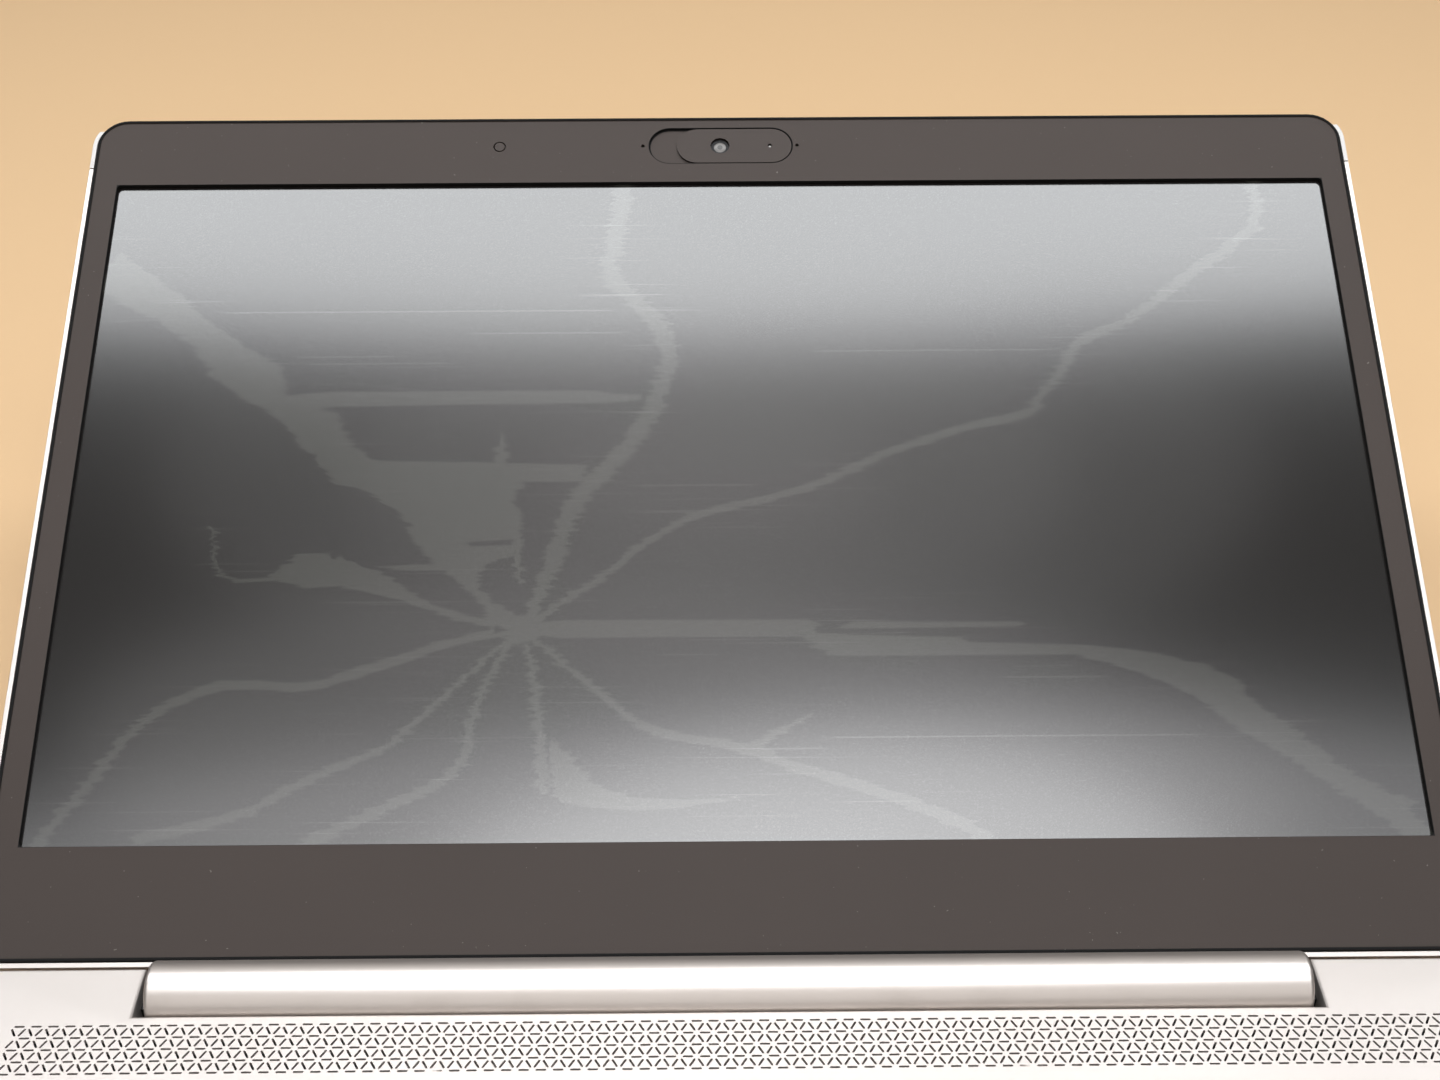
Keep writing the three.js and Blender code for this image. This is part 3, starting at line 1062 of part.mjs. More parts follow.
const WEBCAM_BOARD_Z = [COVER_INSIDE + CLEARANCE, COVER_INSIDE + CLEARANCE + BOARD];
const webcamBoardLow = PANEL_TOP + WEBCAM_BOARD_FROM_PANEL;
const webcamBoardY = [webcamBoardLow, webcamBoardLow + WEBCAM_BOARD_HEIGHT];
const webcamBoard = block(around(0, WEBCAM_BOARD_LENGTH / 2), webcamBoardY, WEBCAM_BOARD_Z);
addPiece(lid, "webcam_board", webcamBoard, GREEN_BOARD);
const lensFoot = WEBCAM_BOARD_Z[1] + LAYER_GAP;
const lensHousing = post(LENS_HOUSING_RADIUS, 0, WEBCAM_Y, [lensFoot, BEZEL_BACK - LAYER_GAP]);
const lensBarrel = post(LENS_RADIUS, 0, WEBCAM_Y, [lensFoot, TRACK_BACK]);
addPiece(lid, "webcam_lens", join(lensHousing, lensBarrel), LENS_GLASS);
const sensorWindow = post(SENSOR_RADIUS, SENSOR_X, WEBCAM_Y, [BEZEL_BACK, BEZEL_FRONT]);
addPiece(lid, "light_sensor_window", sensorWindow, LENS_GLASS);

// Cracks in the display cell, as lines of [right, up] from the point that was struck. That point
// is placed from the screen's left and bottom edges.
const STRUCK_X = -SCREEN_SIDE + STRUCK_FROM_LEFT;
const STRUCK_Y = SCREEN_BOTTOM + STRUCK_FROM_BOTTOM;
const CRACKS = [
  [[0, 0], [-8, 3], [-17, 14], [-30, 31], [-50, 50], [-63, 64], [-78, 76], [-104, 99]],
  [[0, 0], [2, 4], [6, 16], [12, 33], [20, 43], [27, 53], [33, 67], [34, 75], [28, 86], [19, 96],
    [21, 124]],
  [[0, 0], [7, 6], [27, 21], [39, 29], [57, 33], [77, 41], [97, 50], [122, 57], [135, 75], [154, 87],
    [185, 110]],
  [[0, 0], [30, 0], [67, 0], [80, -4], [127, -5], [147, -9], [163, -19], [182, -37], [200, -49]],
  [[0, 0], [14, -12], [24, -21], [37, -26], [55, -30], [72, -36], [92, -44], [104, -50]],
  [[0, 0], [3, -11], [5, -25], [7, -38], [17, -41], [37, -42], [55, -40]],
  [[0, 0], [-6, -9], [-11, -24], [-13, -32], [-20, -38], [-33, -45], [-46, -50]],
  [[0, 0], [-11, -10], [-23, -22], [-36, -31], [-51, -38], [-65, -45], [-83, -49]],
  [[0, 0], [-19, -4], [-38, -10], [-51, -13], [-68, -13], [-82, -20], [-91, -30], [-104, -50]],
  [[0, 0], [-15, 3], [-31, 11], [-46, 17], [-60, 13], [-71, 15], [-74, 31]],
  [[-57, 61], [-25, 62]],
  [[-35, 43], [14, 42]],
];

function displayCell() {
  const plate = block(around(0, PANEL_SIDE), [PANEL_BOTTOM, PANEL_TOP], [CELL_BACK, CELL_FRONT]);
  const depth = [CELL_FRONT - CRACK_DEPTH, CELL_FRONT + PAST];
  const grooves = CRACKS.map((line) => {
    const points = line.map(([right, up]) => [STRUCK_X + right, STRUCK_Y + up]);
    return strip(points, CRACK_WIDTH, depth, 4);
  });
  return cut(plate, grooves);
}

const film = block(around(0, PANEL_SIDE), [PANEL_BOTTOM, PANEL_TOP], [FILM_FRONT - FILM, FILM_FRONT]);
addPiece(lid, "polariser_film", film, SCREEN_FILM);
addPiece(lid, "display_cell", displayCell(), GLASS);
const backlightZ = [COVER_INSIDE + LAYER_GAP, CELL_BACK - LAYER_GAP];
const backlight = block(around(0, PANEL_SIDE), [PANEL_BOTTOM, PANEL_TOP], backlightZ);
addPiece(lid, "backlight_unit", backlight, WHITE_SHEET);

// Driver board under the panel, and the ribbon cable from it into the hinge barrel
const driverTop = PANEL_BOTTOM - CLEARANCE;
const driverZ = [CELL_BACK - BOARD, CELL_BACK];
const driverSide = LEAF_KNUCKLE[0] - DRIVER_BOARD_FROM_LEAF;
const driverBoard = block(around(0, driverSide), [driverTop - DRIVER_BOARD_HEIGHT, driverTop], driverZ);
addPiece(lid, "display_driver_board", driverBoard, GREEN_BOARD);
const cableTop = driverTop - DRIVER_BOARD_HEIGHT - CLEARANCE;
const cableHigh = LEAF_BACK + CABLE_THICKNESS;
const cableInner = cableHigh + CABLE_RISE;
const cableBend = BARREL_BORE - CABLE_RISE_FROM_BORE;
const cableSection = [
  [cableTop, LEAF_BACK],
  [BARREL_RADIUS - SINK, LEAF_BACK],
  [cableBend - SINK, cableInner - CABLE_THICKNESS],
  [-CABLE_END_PAST_AXIS, cableInner - CABLE_THICKNESS],
  [-CABLE_END_PAST_AXIS, cableInner],
  [cableBend, cableInner],
  [BARREL_RADIUS, cableHigh],
  [cableTop, cableHigh],
];
addPiece(lid, "display_cable", bar(cableSection, around(CABLE_X, CABLE_WIDTH / 2)), BLACK_PLASTIC);

// The origin is under the middle of the whole laptop
const part = new THREE.Group();
part.add(laptop);
const extent = new THREE.Box3().setFromObject(laptop, true);
laptop.position.y = -(extent.min.y + extent.max.y) / 2;

export default part;
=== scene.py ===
import json
from math import cos, radians, sin

import bmesh
import bpy
import numpy as np
from mathutils import Matrix, Vector

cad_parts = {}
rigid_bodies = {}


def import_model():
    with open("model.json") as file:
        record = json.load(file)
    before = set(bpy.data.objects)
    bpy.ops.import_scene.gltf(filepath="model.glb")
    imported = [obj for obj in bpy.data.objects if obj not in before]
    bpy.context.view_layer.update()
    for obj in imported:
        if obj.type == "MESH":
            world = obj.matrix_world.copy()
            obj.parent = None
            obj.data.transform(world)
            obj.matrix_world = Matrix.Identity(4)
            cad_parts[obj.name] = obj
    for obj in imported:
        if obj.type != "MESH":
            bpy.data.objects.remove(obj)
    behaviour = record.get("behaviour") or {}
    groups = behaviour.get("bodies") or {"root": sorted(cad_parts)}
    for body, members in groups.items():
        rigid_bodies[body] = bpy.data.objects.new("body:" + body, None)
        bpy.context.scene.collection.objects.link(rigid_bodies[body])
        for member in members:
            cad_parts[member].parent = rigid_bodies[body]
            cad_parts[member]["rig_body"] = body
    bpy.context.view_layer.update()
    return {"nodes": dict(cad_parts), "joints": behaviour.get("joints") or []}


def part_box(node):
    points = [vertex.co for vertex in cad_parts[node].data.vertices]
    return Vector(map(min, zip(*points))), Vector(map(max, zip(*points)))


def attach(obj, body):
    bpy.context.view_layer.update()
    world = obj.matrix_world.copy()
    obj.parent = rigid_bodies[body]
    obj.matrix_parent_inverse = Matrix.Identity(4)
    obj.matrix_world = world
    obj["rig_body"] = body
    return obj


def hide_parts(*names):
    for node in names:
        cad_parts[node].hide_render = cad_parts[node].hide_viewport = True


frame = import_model()
MM = 0.001


class Field:
    """One output of a shader node. Arithmetic on it adds Math nodes to its material."""

    def __init__(self, tree, output):
        self.tree = tree
        self.output = output

    def node(self, kind, inputs, settings=None, output=0):
        """Adds a node of a kind, makes its settings and then its sockets, and gives one output."""
        made = self.tree.nodes.new("ShaderNode" + kind)
        for name, value in (settings or {}).items():
            setattr(made, name, value)
        for name, value in inputs.items():
            if isinstance(value, Field):
                self.tree.links.new(value.output, made.inputs[name])
            else:
                made.inputs[name].default_value = value
        return Field(self.tree, made.outputs[output])

    def math(self, operation, *values):
        """A Math node on numbers or fields."""
        return self.node("Math", dict(enumerate(values)), {"operation": operation})

    def __add__(self, other):
        return self.math("ADD", self, other)

    def __sub__(self, other):
        return self.math("SUBTRACT", self, other)

    def __rsub__(self, other):
        return self.math("SUBTRACT", other, self)

    def __mul__(self, other):
        return self.math("MULTIPLY", self, other)

    def __abs__(self):
        return self.math("ABSOLUTE", self)

    __radd__ = __add__
    __rmul__ = __mul__

    def larger(self, other):
        """The larger of this field and another field or number."""
        return self.math("MAXIMUM", self, other)

    def noise(self, size, detail=2.0, stretch=(1, 1, 1)):
        """Soft noise from 0 to 1 with marks of about one size, drawn out along an axis by a stretch."""
        scale = [1 / (size * along) for along in stretch]
        place = self.node("VectorMath", {0: self, 1: scale}, {"operation": "MULTIPLY"})
        return place.node("TexNoise", {"Vector": place, "Scale": 1.0, "Detail": detail})

    def step(self, low, high):
        """0 below low, 1 above high, and a smooth rise between them."""
        ends = {"Value": self, "From Min": low, "From Max": high}
        return self.node("MapRange", ends, {"interpolation_type": "SMOOTHSTEP"})

    def tint(self, first, second):
        """A colour that goes from first to second as this field goes from 0 to 1."""
        return self.node("Mix", {0: self, 6: first, 7: second}, {"data_type": "RGBA"}, output=2)

    def relief(self, depth):
        """A surface normal for bumps as high as this field times a depth in metres."""
        return self.node("Bump", {"Height": self, "Distance": depth, "Strength": 1.0})


def finish(name, paint):
    """A material whose shader sockets are what paint works out from the object coordinates."""
    material = bpy.data.materials.new(name)
    material.use_nodes = True
    tree = material.node_tree
    shader = tree.nodes["Principled BSDF"]
    place = Field(tree, tree.nodes.new("ShaderNodeTexCoord").outputs["Object"])
    for socket, value in paint(place).items():
        if isinstance(value, Field):
            tree.links.new(value.output, shader.inputs[socket])
        else:
            shader.inputs[socket].default_value = value
    return material


def blasted_aluminium(place):
    """Fine even pits under clear anodising, with faint hand marks that dull it."""
    pits = place.noise(0.16 * MM, detail=3)
    marks = place.noise(38 * MM, detail=4).step(0.42, 0.68)
    return {
        "Base Color": marks.tint((0.62, 0.577, 0.549, 1), (0.602, 0.559, 0.531, 1)),
        "Metallic": 0.82,
        "Roughness": 0.43 + 0.08 * pits + 0.02 * marks,
        "Normal": pits.relief(0.006 * MM),
    }


def dress(piece, material):
    """Gives an object one material."""
    piece.data.materials.clear()
    piece.data.materials.append(material)


def put_in_place(piece, node, material):
    """A new piece stands for a node: it takes the node's body and a material, and the node is hidden."""
    dress(piece, material)
    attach(piece, frame["nodes"][node]["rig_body"])
    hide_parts(node)


def settle(piece):
    """Makes a piece's modifiers final in its mesh."""
    bpy.context.view_layer.update()
    seen = piece.evaluated_get(bpy.context.evaluated_depsgraph_get())
    final = bpy.data.meshes.new_from_object(seen)
    piece.modifiers.clear()
    piece.data = final


def soften(piece, angle=50):
    """Smooth shading with sharp edges kept, and large faces kept flat by weighted normals."""
    piece.data.shade_smooth()
    piece.data.set_sharp_from_angle(angle=radians(angle))
    weighted = piece.modifiers.new("flat faces", "WEIGHTED_NORMAL")
    weighted.keep_sharp = True
    settle(piece)


def rounded_copy(node, edge, steps=2):
    """The node's own shape with its triangles merged into flat faces and its sharp edges rounded."""
    shape = bmesh.new()
    shape.from_mesh(frame["nodes"][node].data)
    bmesh.ops.remove_doubles(shape, verts=shape.verts, dist=0.002 * MM)
    bmesh.ops.dissolve_limit(shape, angle_limit=radians(0.5), verts=shape.verts, edges=shape.edges)
    mesh = bpy.data.meshes.new(node + "_piece")
    shape.to_mesh(mesh)
    shape.free()
    piece = bpy.data.objects.new(node + "_piece", mesh)
    bpy.context.scene.collection.objects.link(piece)
    bevel = piece.modifiers.new("round edges", "BEVEL")
    bevel.width = edge
    bevel.segments = steps
    bevel.limit_method = "ANGLE"
    bevel.angle_limit = radians(40)
    settle(piece)
    return piece


def stand_in(node, material, edge, steps=2):
    """The node's own shape with rounded edges takes the node's place."""
    piece = rounded_copy(node, edge, steps)
    soften(piece)
    put_in_place(piece, node, material)


aluminium = finish("blasted_aluminium", blasted_aluminium)
stand_in("bottom_cover", aluminium, edge=0.2 * MM)

# Feet
# Two long strips of soft black rubber, glued into shallow recesses of the bottom cover. They
# pick up a little grey dust.


def foot_rubber(place):
    """Black rubber with a fine skin and pale dust in patches."""
    skin = place.noise(0.4 * MM, detail=3)
    dust = place.noise(6 * MM, detail=5).step(0.5, 0.75)
    return {
        "Base Color": (0.6 * dust).tint((0.016, 0.016, 0.016, 1), (0.07, 0.066, 0.06, 1)),
        "Roughness": 0.78 + 0.12 * dust,
        "Normal": skin.relief(0.02 * MM),
    }


rubber = finish("foot_rubber", foot_rubber)
for node in ("front_foot", "rear_foot"):
    stand_in(node, rubber, edge=0.4 * MM, steps=3)

# Cover screws
# Six small blackened steel screws with a six-lobed recess, turned through the bottom cover into
# posts of the deck.
RECESS_RADIUS = 1.15 * MM
RECESS_LOBE = 0.22 * MM
RECESS_DEPTH = 0.45 * MM
LOBE_POINTS = 48


def loft(rings):
    """A closed skin over rings of points: quads from ring to ring and a flat face on each end."""
    rings = np.asarray(rings, float)
    count, around = rings.shape[:2]
    index = np.arange(count * around).reshape(count, around)
    after = np.roll(index, -1, axis=1)
    sides = np.stack([index[:-1], after[:-1], after[1:], index[1:]], axis=-1).reshape(-1, 4)
    ends = [index[0, ::-1].tolist(), index[-1].tolist()]
    return rings.reshape(-1, 3), sides.tolist() + ends


def make_piece(name, *skins):
    """One object from one or more skins of points and faces."""
    mesh = bpy.data.meshes.new(name)
    starts = np.cumsum([0] + [len(points) for points, _ in skins])
    points = np.concatenate([points for points, _ in skins])
    faces = [[i + start for i in face] for start, (_, part) in zip(starts, skins) for face in part]
    mesh.from_pydata(points.tolist(), [], faces)
    piece = bpy.data.objects.new(name, mesh)
    bpy.context.scene.collection.objects.link(piece)
    return piece


def carve(piece, *skins):
    """Takes the solids inside the skins away from a piece."""
    tool = make_piece("tool", *skins)
    cutting = piece.modifiers.new("cut", "BOOLEAN")
    cutting.object = tool
    cutting.operation = "DIFFERENCE"
    cutting.solver = "MANIFOLD"
    settle(piece)
    bpy.data.objects.remove(tool)


def lobed_prism(centre, low, high):
    """An upright prism whose radius swings six times round: radius + lobe times cos of 6 angles."""
    angle = np.linspace(0, 2 * np.pi, LOBE_POINTS, endpoint=False)
    radius = RECESS_RADIUS + RECESS_LOBE * np.cos(6 * angle)
    ring = np.stack([centre[0] + radius * np.cos(angle), centre[1] + radius * np.sin(angle)], axis=-1)
    heights = np.full((2, LOBE_POINTS, 1), low)
    heights[1] = high
    return loft(np.concatenate([np.stack([ring, ring]), heights], axis=-1))


def blackened_steel(place):
    """Dark oxide on steel, rubbed brighter in places."""
    rub = place.noise(1.5 * MM, detail=4).step(0.45, 0.75)
    return {
        "Base Color": rub.tint((0.05, 0.05, 0.052, 1), (0.22, 0.22, 0.225, 1)),
        "Metallic": 0.9,
        "Roughness": 0.42 - 0.1 * rub,
        "Normal": rub.relief(0.01 * MM),
    }


dark_steel = finish("blackened_steel", blackened_steel)
for number in range(1, 7):
    node = f"cover_screw_{number}"
    low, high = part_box(node)
    screw = rounded_copy(node, edge=0.15 * MM)
    carve(screw, lobed_prism((low + high) / 2, low.z - MM, low.z + RECESS_DEPTH))
    soften(screw)
    put_in_place(screw, node, dark_steel)

# Boards and modules
# The mainboard, the touchpad's board, memory, storage, wireless and webcam boards: glass-fibre
# sheets under green lacquer, with copper tracks that stand a little proud.


def lacquered_board(place):
    """Green lacquer over square-cornered tracks, which are cells of a distance pattern."""
    tracks = place.node(
        "TexVoronoi",
        {"Vector": place, "Scale": 420.0, "Randomness": 0.35},
        {"feature": "DISTANCE_TO_EDGE", "distance": "EUCLIDEAN"},
    ).step(0.05, 0.12)
    return {
        "Base Color": tracks.tint((0.06, 0.17, 0.08, 1), (0.012, 0.07, 0.035, 1)),
        "Roughness": 0.35 + 0.1 * tracks,
        "Normal": tracks.relief(-0.03 * MM),
    }


board = finish("lacquered_board", lacquered_board)
for node in ("mainboard", "memory_module", "storage_module", "touchpad_board", "webcam_board",
             "display_driver_board"):
    dress(frame["nodes"][node], board)

# Battery and plastic inner parts
# Four flat cells in one dark film wrap, and black moulded plastic: fan, speakers and the cable.


def film_wrap(place):
    """Dark glossy wrap that puckers a little over the cells."""
    pucker = place.noise(5 * MM, detail=3)
    return {
        "Base Color": pucker.tint((0.018, 0.019, 0.021, 1), (0.04, 0.042, 0.046, 1)),
        "Roughness": 0.34 + 0.15 * pucker,
        "Normal": pucker.relief(0.2 * MM),
    }


def black_moulding(place):
    """Spark-eroded black plastic."""
    grain = place.noise(0.35 * MM, detail=3)
    return {
        "Base Color": grain.tint((0.011, 0.011, 0.011, 1), (0.02, 0.02, 0.02, 1)),
        "Roughness": 0.5 + 0.12 * grain,
        "Normal": grain.relief(0.02 * MM),
    }


black_plastic = finish("black_moulding", black_moulding)
dress(frame["nodes"]["battery_pack"], finish("film_wrap", film_wrap))
for node in ("fan_housing", "fan_rotor", "speaker_left", "speaker_right", "display_cable"):
    dress(frame["nodes"][node], black_plastic)

# Cooling parts
# Bare copper: a spreader on the processor, a flattened heat pipe and a stack of fins by the
# vents in the left wall. Copper that has been hot goes brown in patches.


def bare_copper(place):
    """Drawn copper with brown heat stains."""
    stain = place.noise(9 * MM, detail=4).step(0.4, 0.7)
    lines = place.noise(0.3 * MM, detail=2, stretch=(12, 1, 1))
    return {
        "Base Color": stain.tint((0.72, 0.34, 0.19, 1), (0.42, 0.17, 0.09, 1)),
        "Metallic": 1.0,
        "Roughness": 0.28 + 0.15 * stain + 0.08 * lines,
        "Normal": lines.relief(0.008 * MM),
    }


copper = finish("bare_copper", bare_copper)
for node in ("heat_spreader", "heat_pipe", "fin_stack"):
    dress(frame["nodes"][node], copper)

# Sockets
# Folded bright steel shells with a dark plastic tongue that carries the contacts, and a black
# moulded audio jack. Each is soldered to the board behind a hole in the deck's wall.
TONGUE_SETBACK = 1.9 * MM
TONGUE_HALF = {
    "usb_socket_left": 0.92 * MM,
    "usb_socket_right": 0.92 * MM,
    "video_socket": 0.72 * MM,
    "usb_c_socket": 0.42 * MM,
}


def socket_steel(node):
    """Bright steel, and black plastic near the socket's mid height further in than the setback."""
    low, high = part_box(node)
    middle = (low + high) / 2
    mouth = max(low.x, high.x, key=abs)
    inwards = -1 if mouth > 0 else 1

    def paint(place):
        """The tongue is where a place is both deep and near mid height."""
        across = place.node("SeparateXYZ", {"Vector": place}, output="X")
        height = place.node("SeparateXYZ", {"Vector": place}, output="Z")
        depth = inwards * (across - mouth)
        off_middle = abs(height - middle.z)
        deep = depth.step(TONGUE_SETBACK, TONGUE_SETBACK + 0.05 * MM)
        thin = 1 - off_middle.step(TONGUE_HALF[node] + 0.02 * MM, TONGUE_HALF[node] + 0.06 * MM)
        tongue = deep * thin
        scratches = place.noise(0.2 * MM, detail=3, stretch=(10, 1, 1))
        return {
            "Base Color": tongue.tint((0.66, 0.66, 0.67, 1), (0.012, 0.012, 0.013, 1)),
            "Metallic": 1 - tongue,
            "Roughness": 0.26 + 0.12 * scratches + 0.2 * tongue,
            "Normal": scratches.relief(0.006 * MM),
        }

    return paint


for node in TONGUE_HALF:
    stand_in(node, finish(node + "_steel", socket_steel(node)), edge=0.12 * MM)


def bright_steel_sheet(place):
    """Rolled bright steel with fine lengthwise lines."""
    lines = place.noise(0.25 * MM, detail=3, stretch=(14, 1, 1))
    return {
        "Base Color": lines.tint((0.6, 0.6, 0.61, 1), (0.7, 0.7, 0.71, 1)),
        "Metallic": 1.0,
        "Roughness": 0.24 + 0.14 * lines,
        "Normal": lines.relief(0.006 * MM),
    }


bright_steel = finish("bright_steel_sheet", bright_steel_sheet)
dress(frame["nodes"]["wireless_card"], bright_steel)
stand_in("audio_socket", black_plastic, edge=0.2 * MM)

# Deck
# The aluminium top of the base with its walls, milled and blasted. A wide speaker grille of slots
# is cut through it between the hinge and the keyboard: the slots lie on the sides of triangles.
hinge = next(joint for joint in frame["joints"] if joint["name"] == "lid_hinge")
HINGE = np.array(hinge["pos_m"])
GRILLE_FROM_HINGE = 9.8 * MM
GRILLE_PITCH = 3.48 * MM
GRILLE_ROWS = 5
GRILLE_SLOTS = 85
GRILLE_DEPTH = 2 * MM
SLOT_LENGTH = 2.2 * MM
SLOT_WIDTH = 0.48 * MM
SLOT_END_POINTS = 4


def grille_slots(low, high):
    """Upright slots with round ends on every side of a lattice of triangles: each row has one node
    fewer or more than the last, moved by half a pitch, and a slot lies midway between neighbours."""
    row_pitch = GRILLE_PITCH * sin(radians(60))
    places = []
    for row in range(GRILLE_ROWS):
        count = GRILLE_SLOTS + 1 - row % 2
        across = (np.arange(count) - (count - 1) / 2) * GRILLE_PITCH
        back = HINGE[1] - GRILLE_FROM_HINGE - row * row_pitch
        flat = across[:-1] + GRILLE_PITCH / 2
        places.append(np.stack([flat, np.full_like(flat, back), np.zeros_like(flat)], axis=-1))
        if row == GRILLE_ROWS - 1:
            break
        short = (np.arange(GRILLE_SLOTS) - (GRILLE_SLOTS - 1) / 2) * GRILLE_PITCH
        for lean in (-1, 1):
            towards = lean * (1 if row % 2 == 0 else -1)
            centre = short + lean * GRILLE_PITCH / 4
            depth = np.full_like(centre, back - row_pitch / 2)
            places.append(np.stack([centre, depth, np.full_like(centre, towards * radians(60))], axis=-1))
    x, y, turn = np.concatenate(places)[:, :, None].transpose(1, 0, 2)
    round_end = np.linspace(-np.pi / 2, np.pi / 2, SLOT_END_POINTS)
    angle = np.concatenate([round_end, round_end + np.pi])
    end = np.repeat([1, -1], SLOT_END_POINTS) * (SLOT_LENGTH - SLOT_WIDTH) / 2
    along = end + np.cos(angle) * SLOT_WIDTH / 2
    aside = np.sin(angle) * SLOT_WIDTH / 2
    ring = np.stack([
        x + along * np.cos(turn) - aside * np.sin(turn),
        y + along * np.sin(turn) + aside * np.cos(turn),
    ], axis=-1)
    lower = np.concatenate([ring, np.full(ring.shape[:2] + (1,), low)], axis=-1)
    upper = np.concatenate([ring, np.full(ring.shape[:2] + (1,), high)], axis=-1)
    return [loft(pair) for pair in np.stack([lower, upper], axis=1)]


deck_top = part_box("deck")[1].z
deck = rounded_copy("deck", edge=0.2 * MM)
carve(deck, *grille_slots(deck_top - GRILLE_DEPTH, deck_top + MM))
soften(deck)
put_in_place(deck, "deck", aluminium)

# Keyboard
# Black moulded caps with a shallow dish, each on a scissor over a rubber dome, above a steel
# tray. A thin black sheet closes the gaps between them.
ROW_UNITS = 15
FULL_ROW = 18.6 * MM
FUNCTION_ROW = 12 * MM
KEY_GAP = 3 * MM
WEB_LIP = 1 * MM
WEB_THICKNESS = 0.4 * MM
WINDOW_GAP = 0.3 * MM
CAP_HEIGHT = 1.4 * MM
CAP_CORNER = 1.3 * MM
CAP_EDGE = 0.45 * MM
CAP_DISH = 0.22 * MM
STEM_HALF = 2.5 * MM
KEY_ROWS = (
    [(1, None)] * 15,
    [(1, None)] * 13 + [(2, "backspace_key")],
    [(1.5, "tab_key")] + [(1, None)] * 12 + [(1.5, None)],
    [(1.75, "caps_key")] + [(1, None)] * 11 + [(2.25, "enter_key")],
    [(2.25, "left_shift_key")] + [(1, None)] * 10 + [(2.75, "right_shift_key")],
    [(1.25, None), (1, None), (1, None), (1, None), (5.5, "space_bar"), (1, None), (1.25, None),
     (1, None), (1, "stacked"), (1, None)],
)


def round_ring(x, y, corner, inset, steps=5):
    """Points round a rectangle moved in by an inset: four quarter circles of the corner's radius."""
    turn = np.linspace(0, np.pi / 2, steps)
    radius = max(corner - inset, 0.02 * MM)
    right, left = x[1] - inset - radius, x[0] + inset + radius
    back, front = y[1] - inset - radius, y[0] + inset + radius
    quarters = [(right, back), (left, back), (left, front), (right, front)]
    arcs = []
    for number, (middle_x, middle_y) in enumerate(quarters):
        angle = turn + number * np.pi / 2
        arc_x = middle_x + radius * np.cos(angle)
        arc_y = middle_y + radius * np.sin(angle)
        arcs.append(np.stack([arc_x, arc_y], axis=-1))
    return np.concatenate(arcs)


def plate(x, y, corner, profile):
    """A rounded rectangle carried up a profile of (inset, height) pairs."""
    rings = []
    for inset, height in profile:
        ring = round_ring(x, y, corner, inset)
        rings.append(np.column_stack([ring, np.full(len(ring), height)]))
    return loft(rings)


def key_cap(x, y, low, high):
    """A cap with upright sides, a quarter-round edge and a top that dips towards its middle: the dip
    grows with the sine of the way in from the edge."""
    reach = min(x[1] - x[0], y[1] - y[0]) / 2 - CAP_EDGE
    bend = np.linspace(0, np.pi / 2, 5)
    edge = np.stack([CAP_EDGE * (1 - np.cos(bend)), high - CAP_EDGE + CAP_EDGE * np.sin(bend)], axis=-1)
    share = np.linspace(0.12, 0.9, 6)
    dish = np.stack([CAP_EDGE + share * reach, high - CAP_DISH * np.sin(share * np.pi / 2)], axis=-1)
    return plate(x, y, CAP_CORNER, [(0.1 * MM, low), (0, low + 0.1 * MM), *edge, *dish])


def box_skin(x, y, z):
    """A plain block."""
    return plate(x, y, 0, [(0, z[0]), (0, z[1])])


def key_plastic(place):
    """Matte black caps, a little shiny where fingers rub."""
    grain = place.noise(0.3 * MM, detail=3)
    rub = place.noise(14 * MM, detail=2).step(0.5, 0.75)
    return {
        "Base Color": rub.tint((0.013, 0.013, 0.014, 1), (0.02, 0.02, 0.021, 1)),
        "Roughness": 0.5 + 0.14 * grain - 0.12 * rub,
        "Normal": grain.relief(0.012 * MM),
    }


keys = finish("key_plastic", key_plastic)
web_low, web_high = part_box("key_field")
keyboard_left = web_low.x + WEB_LIP
keyboard_back = web_high.y - WEB_LIP
key_pitch = (web_high.x - web_low.x - 2 * WEB_LIP) / ROW_UNITS
plain_caps = []
windows = []
row_back = keyboard_back
for index, row in enumerate(KEY_ROWS):
    row_front = row_back - (FUNCTION_ROW if index == 0 else FULL_ROW)
    key_left = keyboard_left
    for units, name in row:
        key_right = key_left + units * key_pitch
        key_x = (key_left + KEY_GAP / 2, key_right - KEY_GAP / 2)
        key_y = (row_front + KEY_GAP / 2, row_back - KEY_GAP / 2)
        key_z = (web_high.z - CAP_HEIGHT, web_high.z)
        if name is None:
            plain_caps.append(key_cap(key_x, key_y, *key_z))
        elif name == "stacked":
            middle = (row_front + row_back) / 2
            plain_caps.append(key_cap(key_x, (key_y[0], middle - KEY_GAP / 4), *key_z))
            plain_caps.append(key_cap(key_x, (middle + KEY_GAP / 4, key_y[1]), *key_z))
        else:
            low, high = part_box(name)
            stem_x = ((low.x + high.x) / 2 - STEM_HALF, (low.x + high.x) / 2 + STEM_HALF)
            stem_y = ((low.y + high.y) / 2 - STEM_HALF, (low.y + high.y) / 2 + STEM_HALF)
            stem = box_skin(stem_x, stem_y, (low.z, high.z - CAP_HEIGHT))
            key = make_piece(name + "_cap", key_cap(key_x, key_y, *key_z), stem)
            soften(key)
            put_in_place(key, name, keys)
            window_x = (key_x[0] - WINDOW_GAP, key_x[1] + WINDOW_GAP)
            window_y = (key_y[0] - WINDOW_GAP, key_y[1] + WINDOW_GAP)
            windows.append(box_skin(window_x, window_y, (web_low.z - MM, web_low.z + MM)))
        key_left = key_right
    row_back = row_front
key_caps = make_piece("key_caps", *plain_caps)
soften(key_caps)
put_in_place(key_caps, "key_field", keys)
web_x, web_y = (web_low.x, web_high.x), (web_low.y, web_high.y)
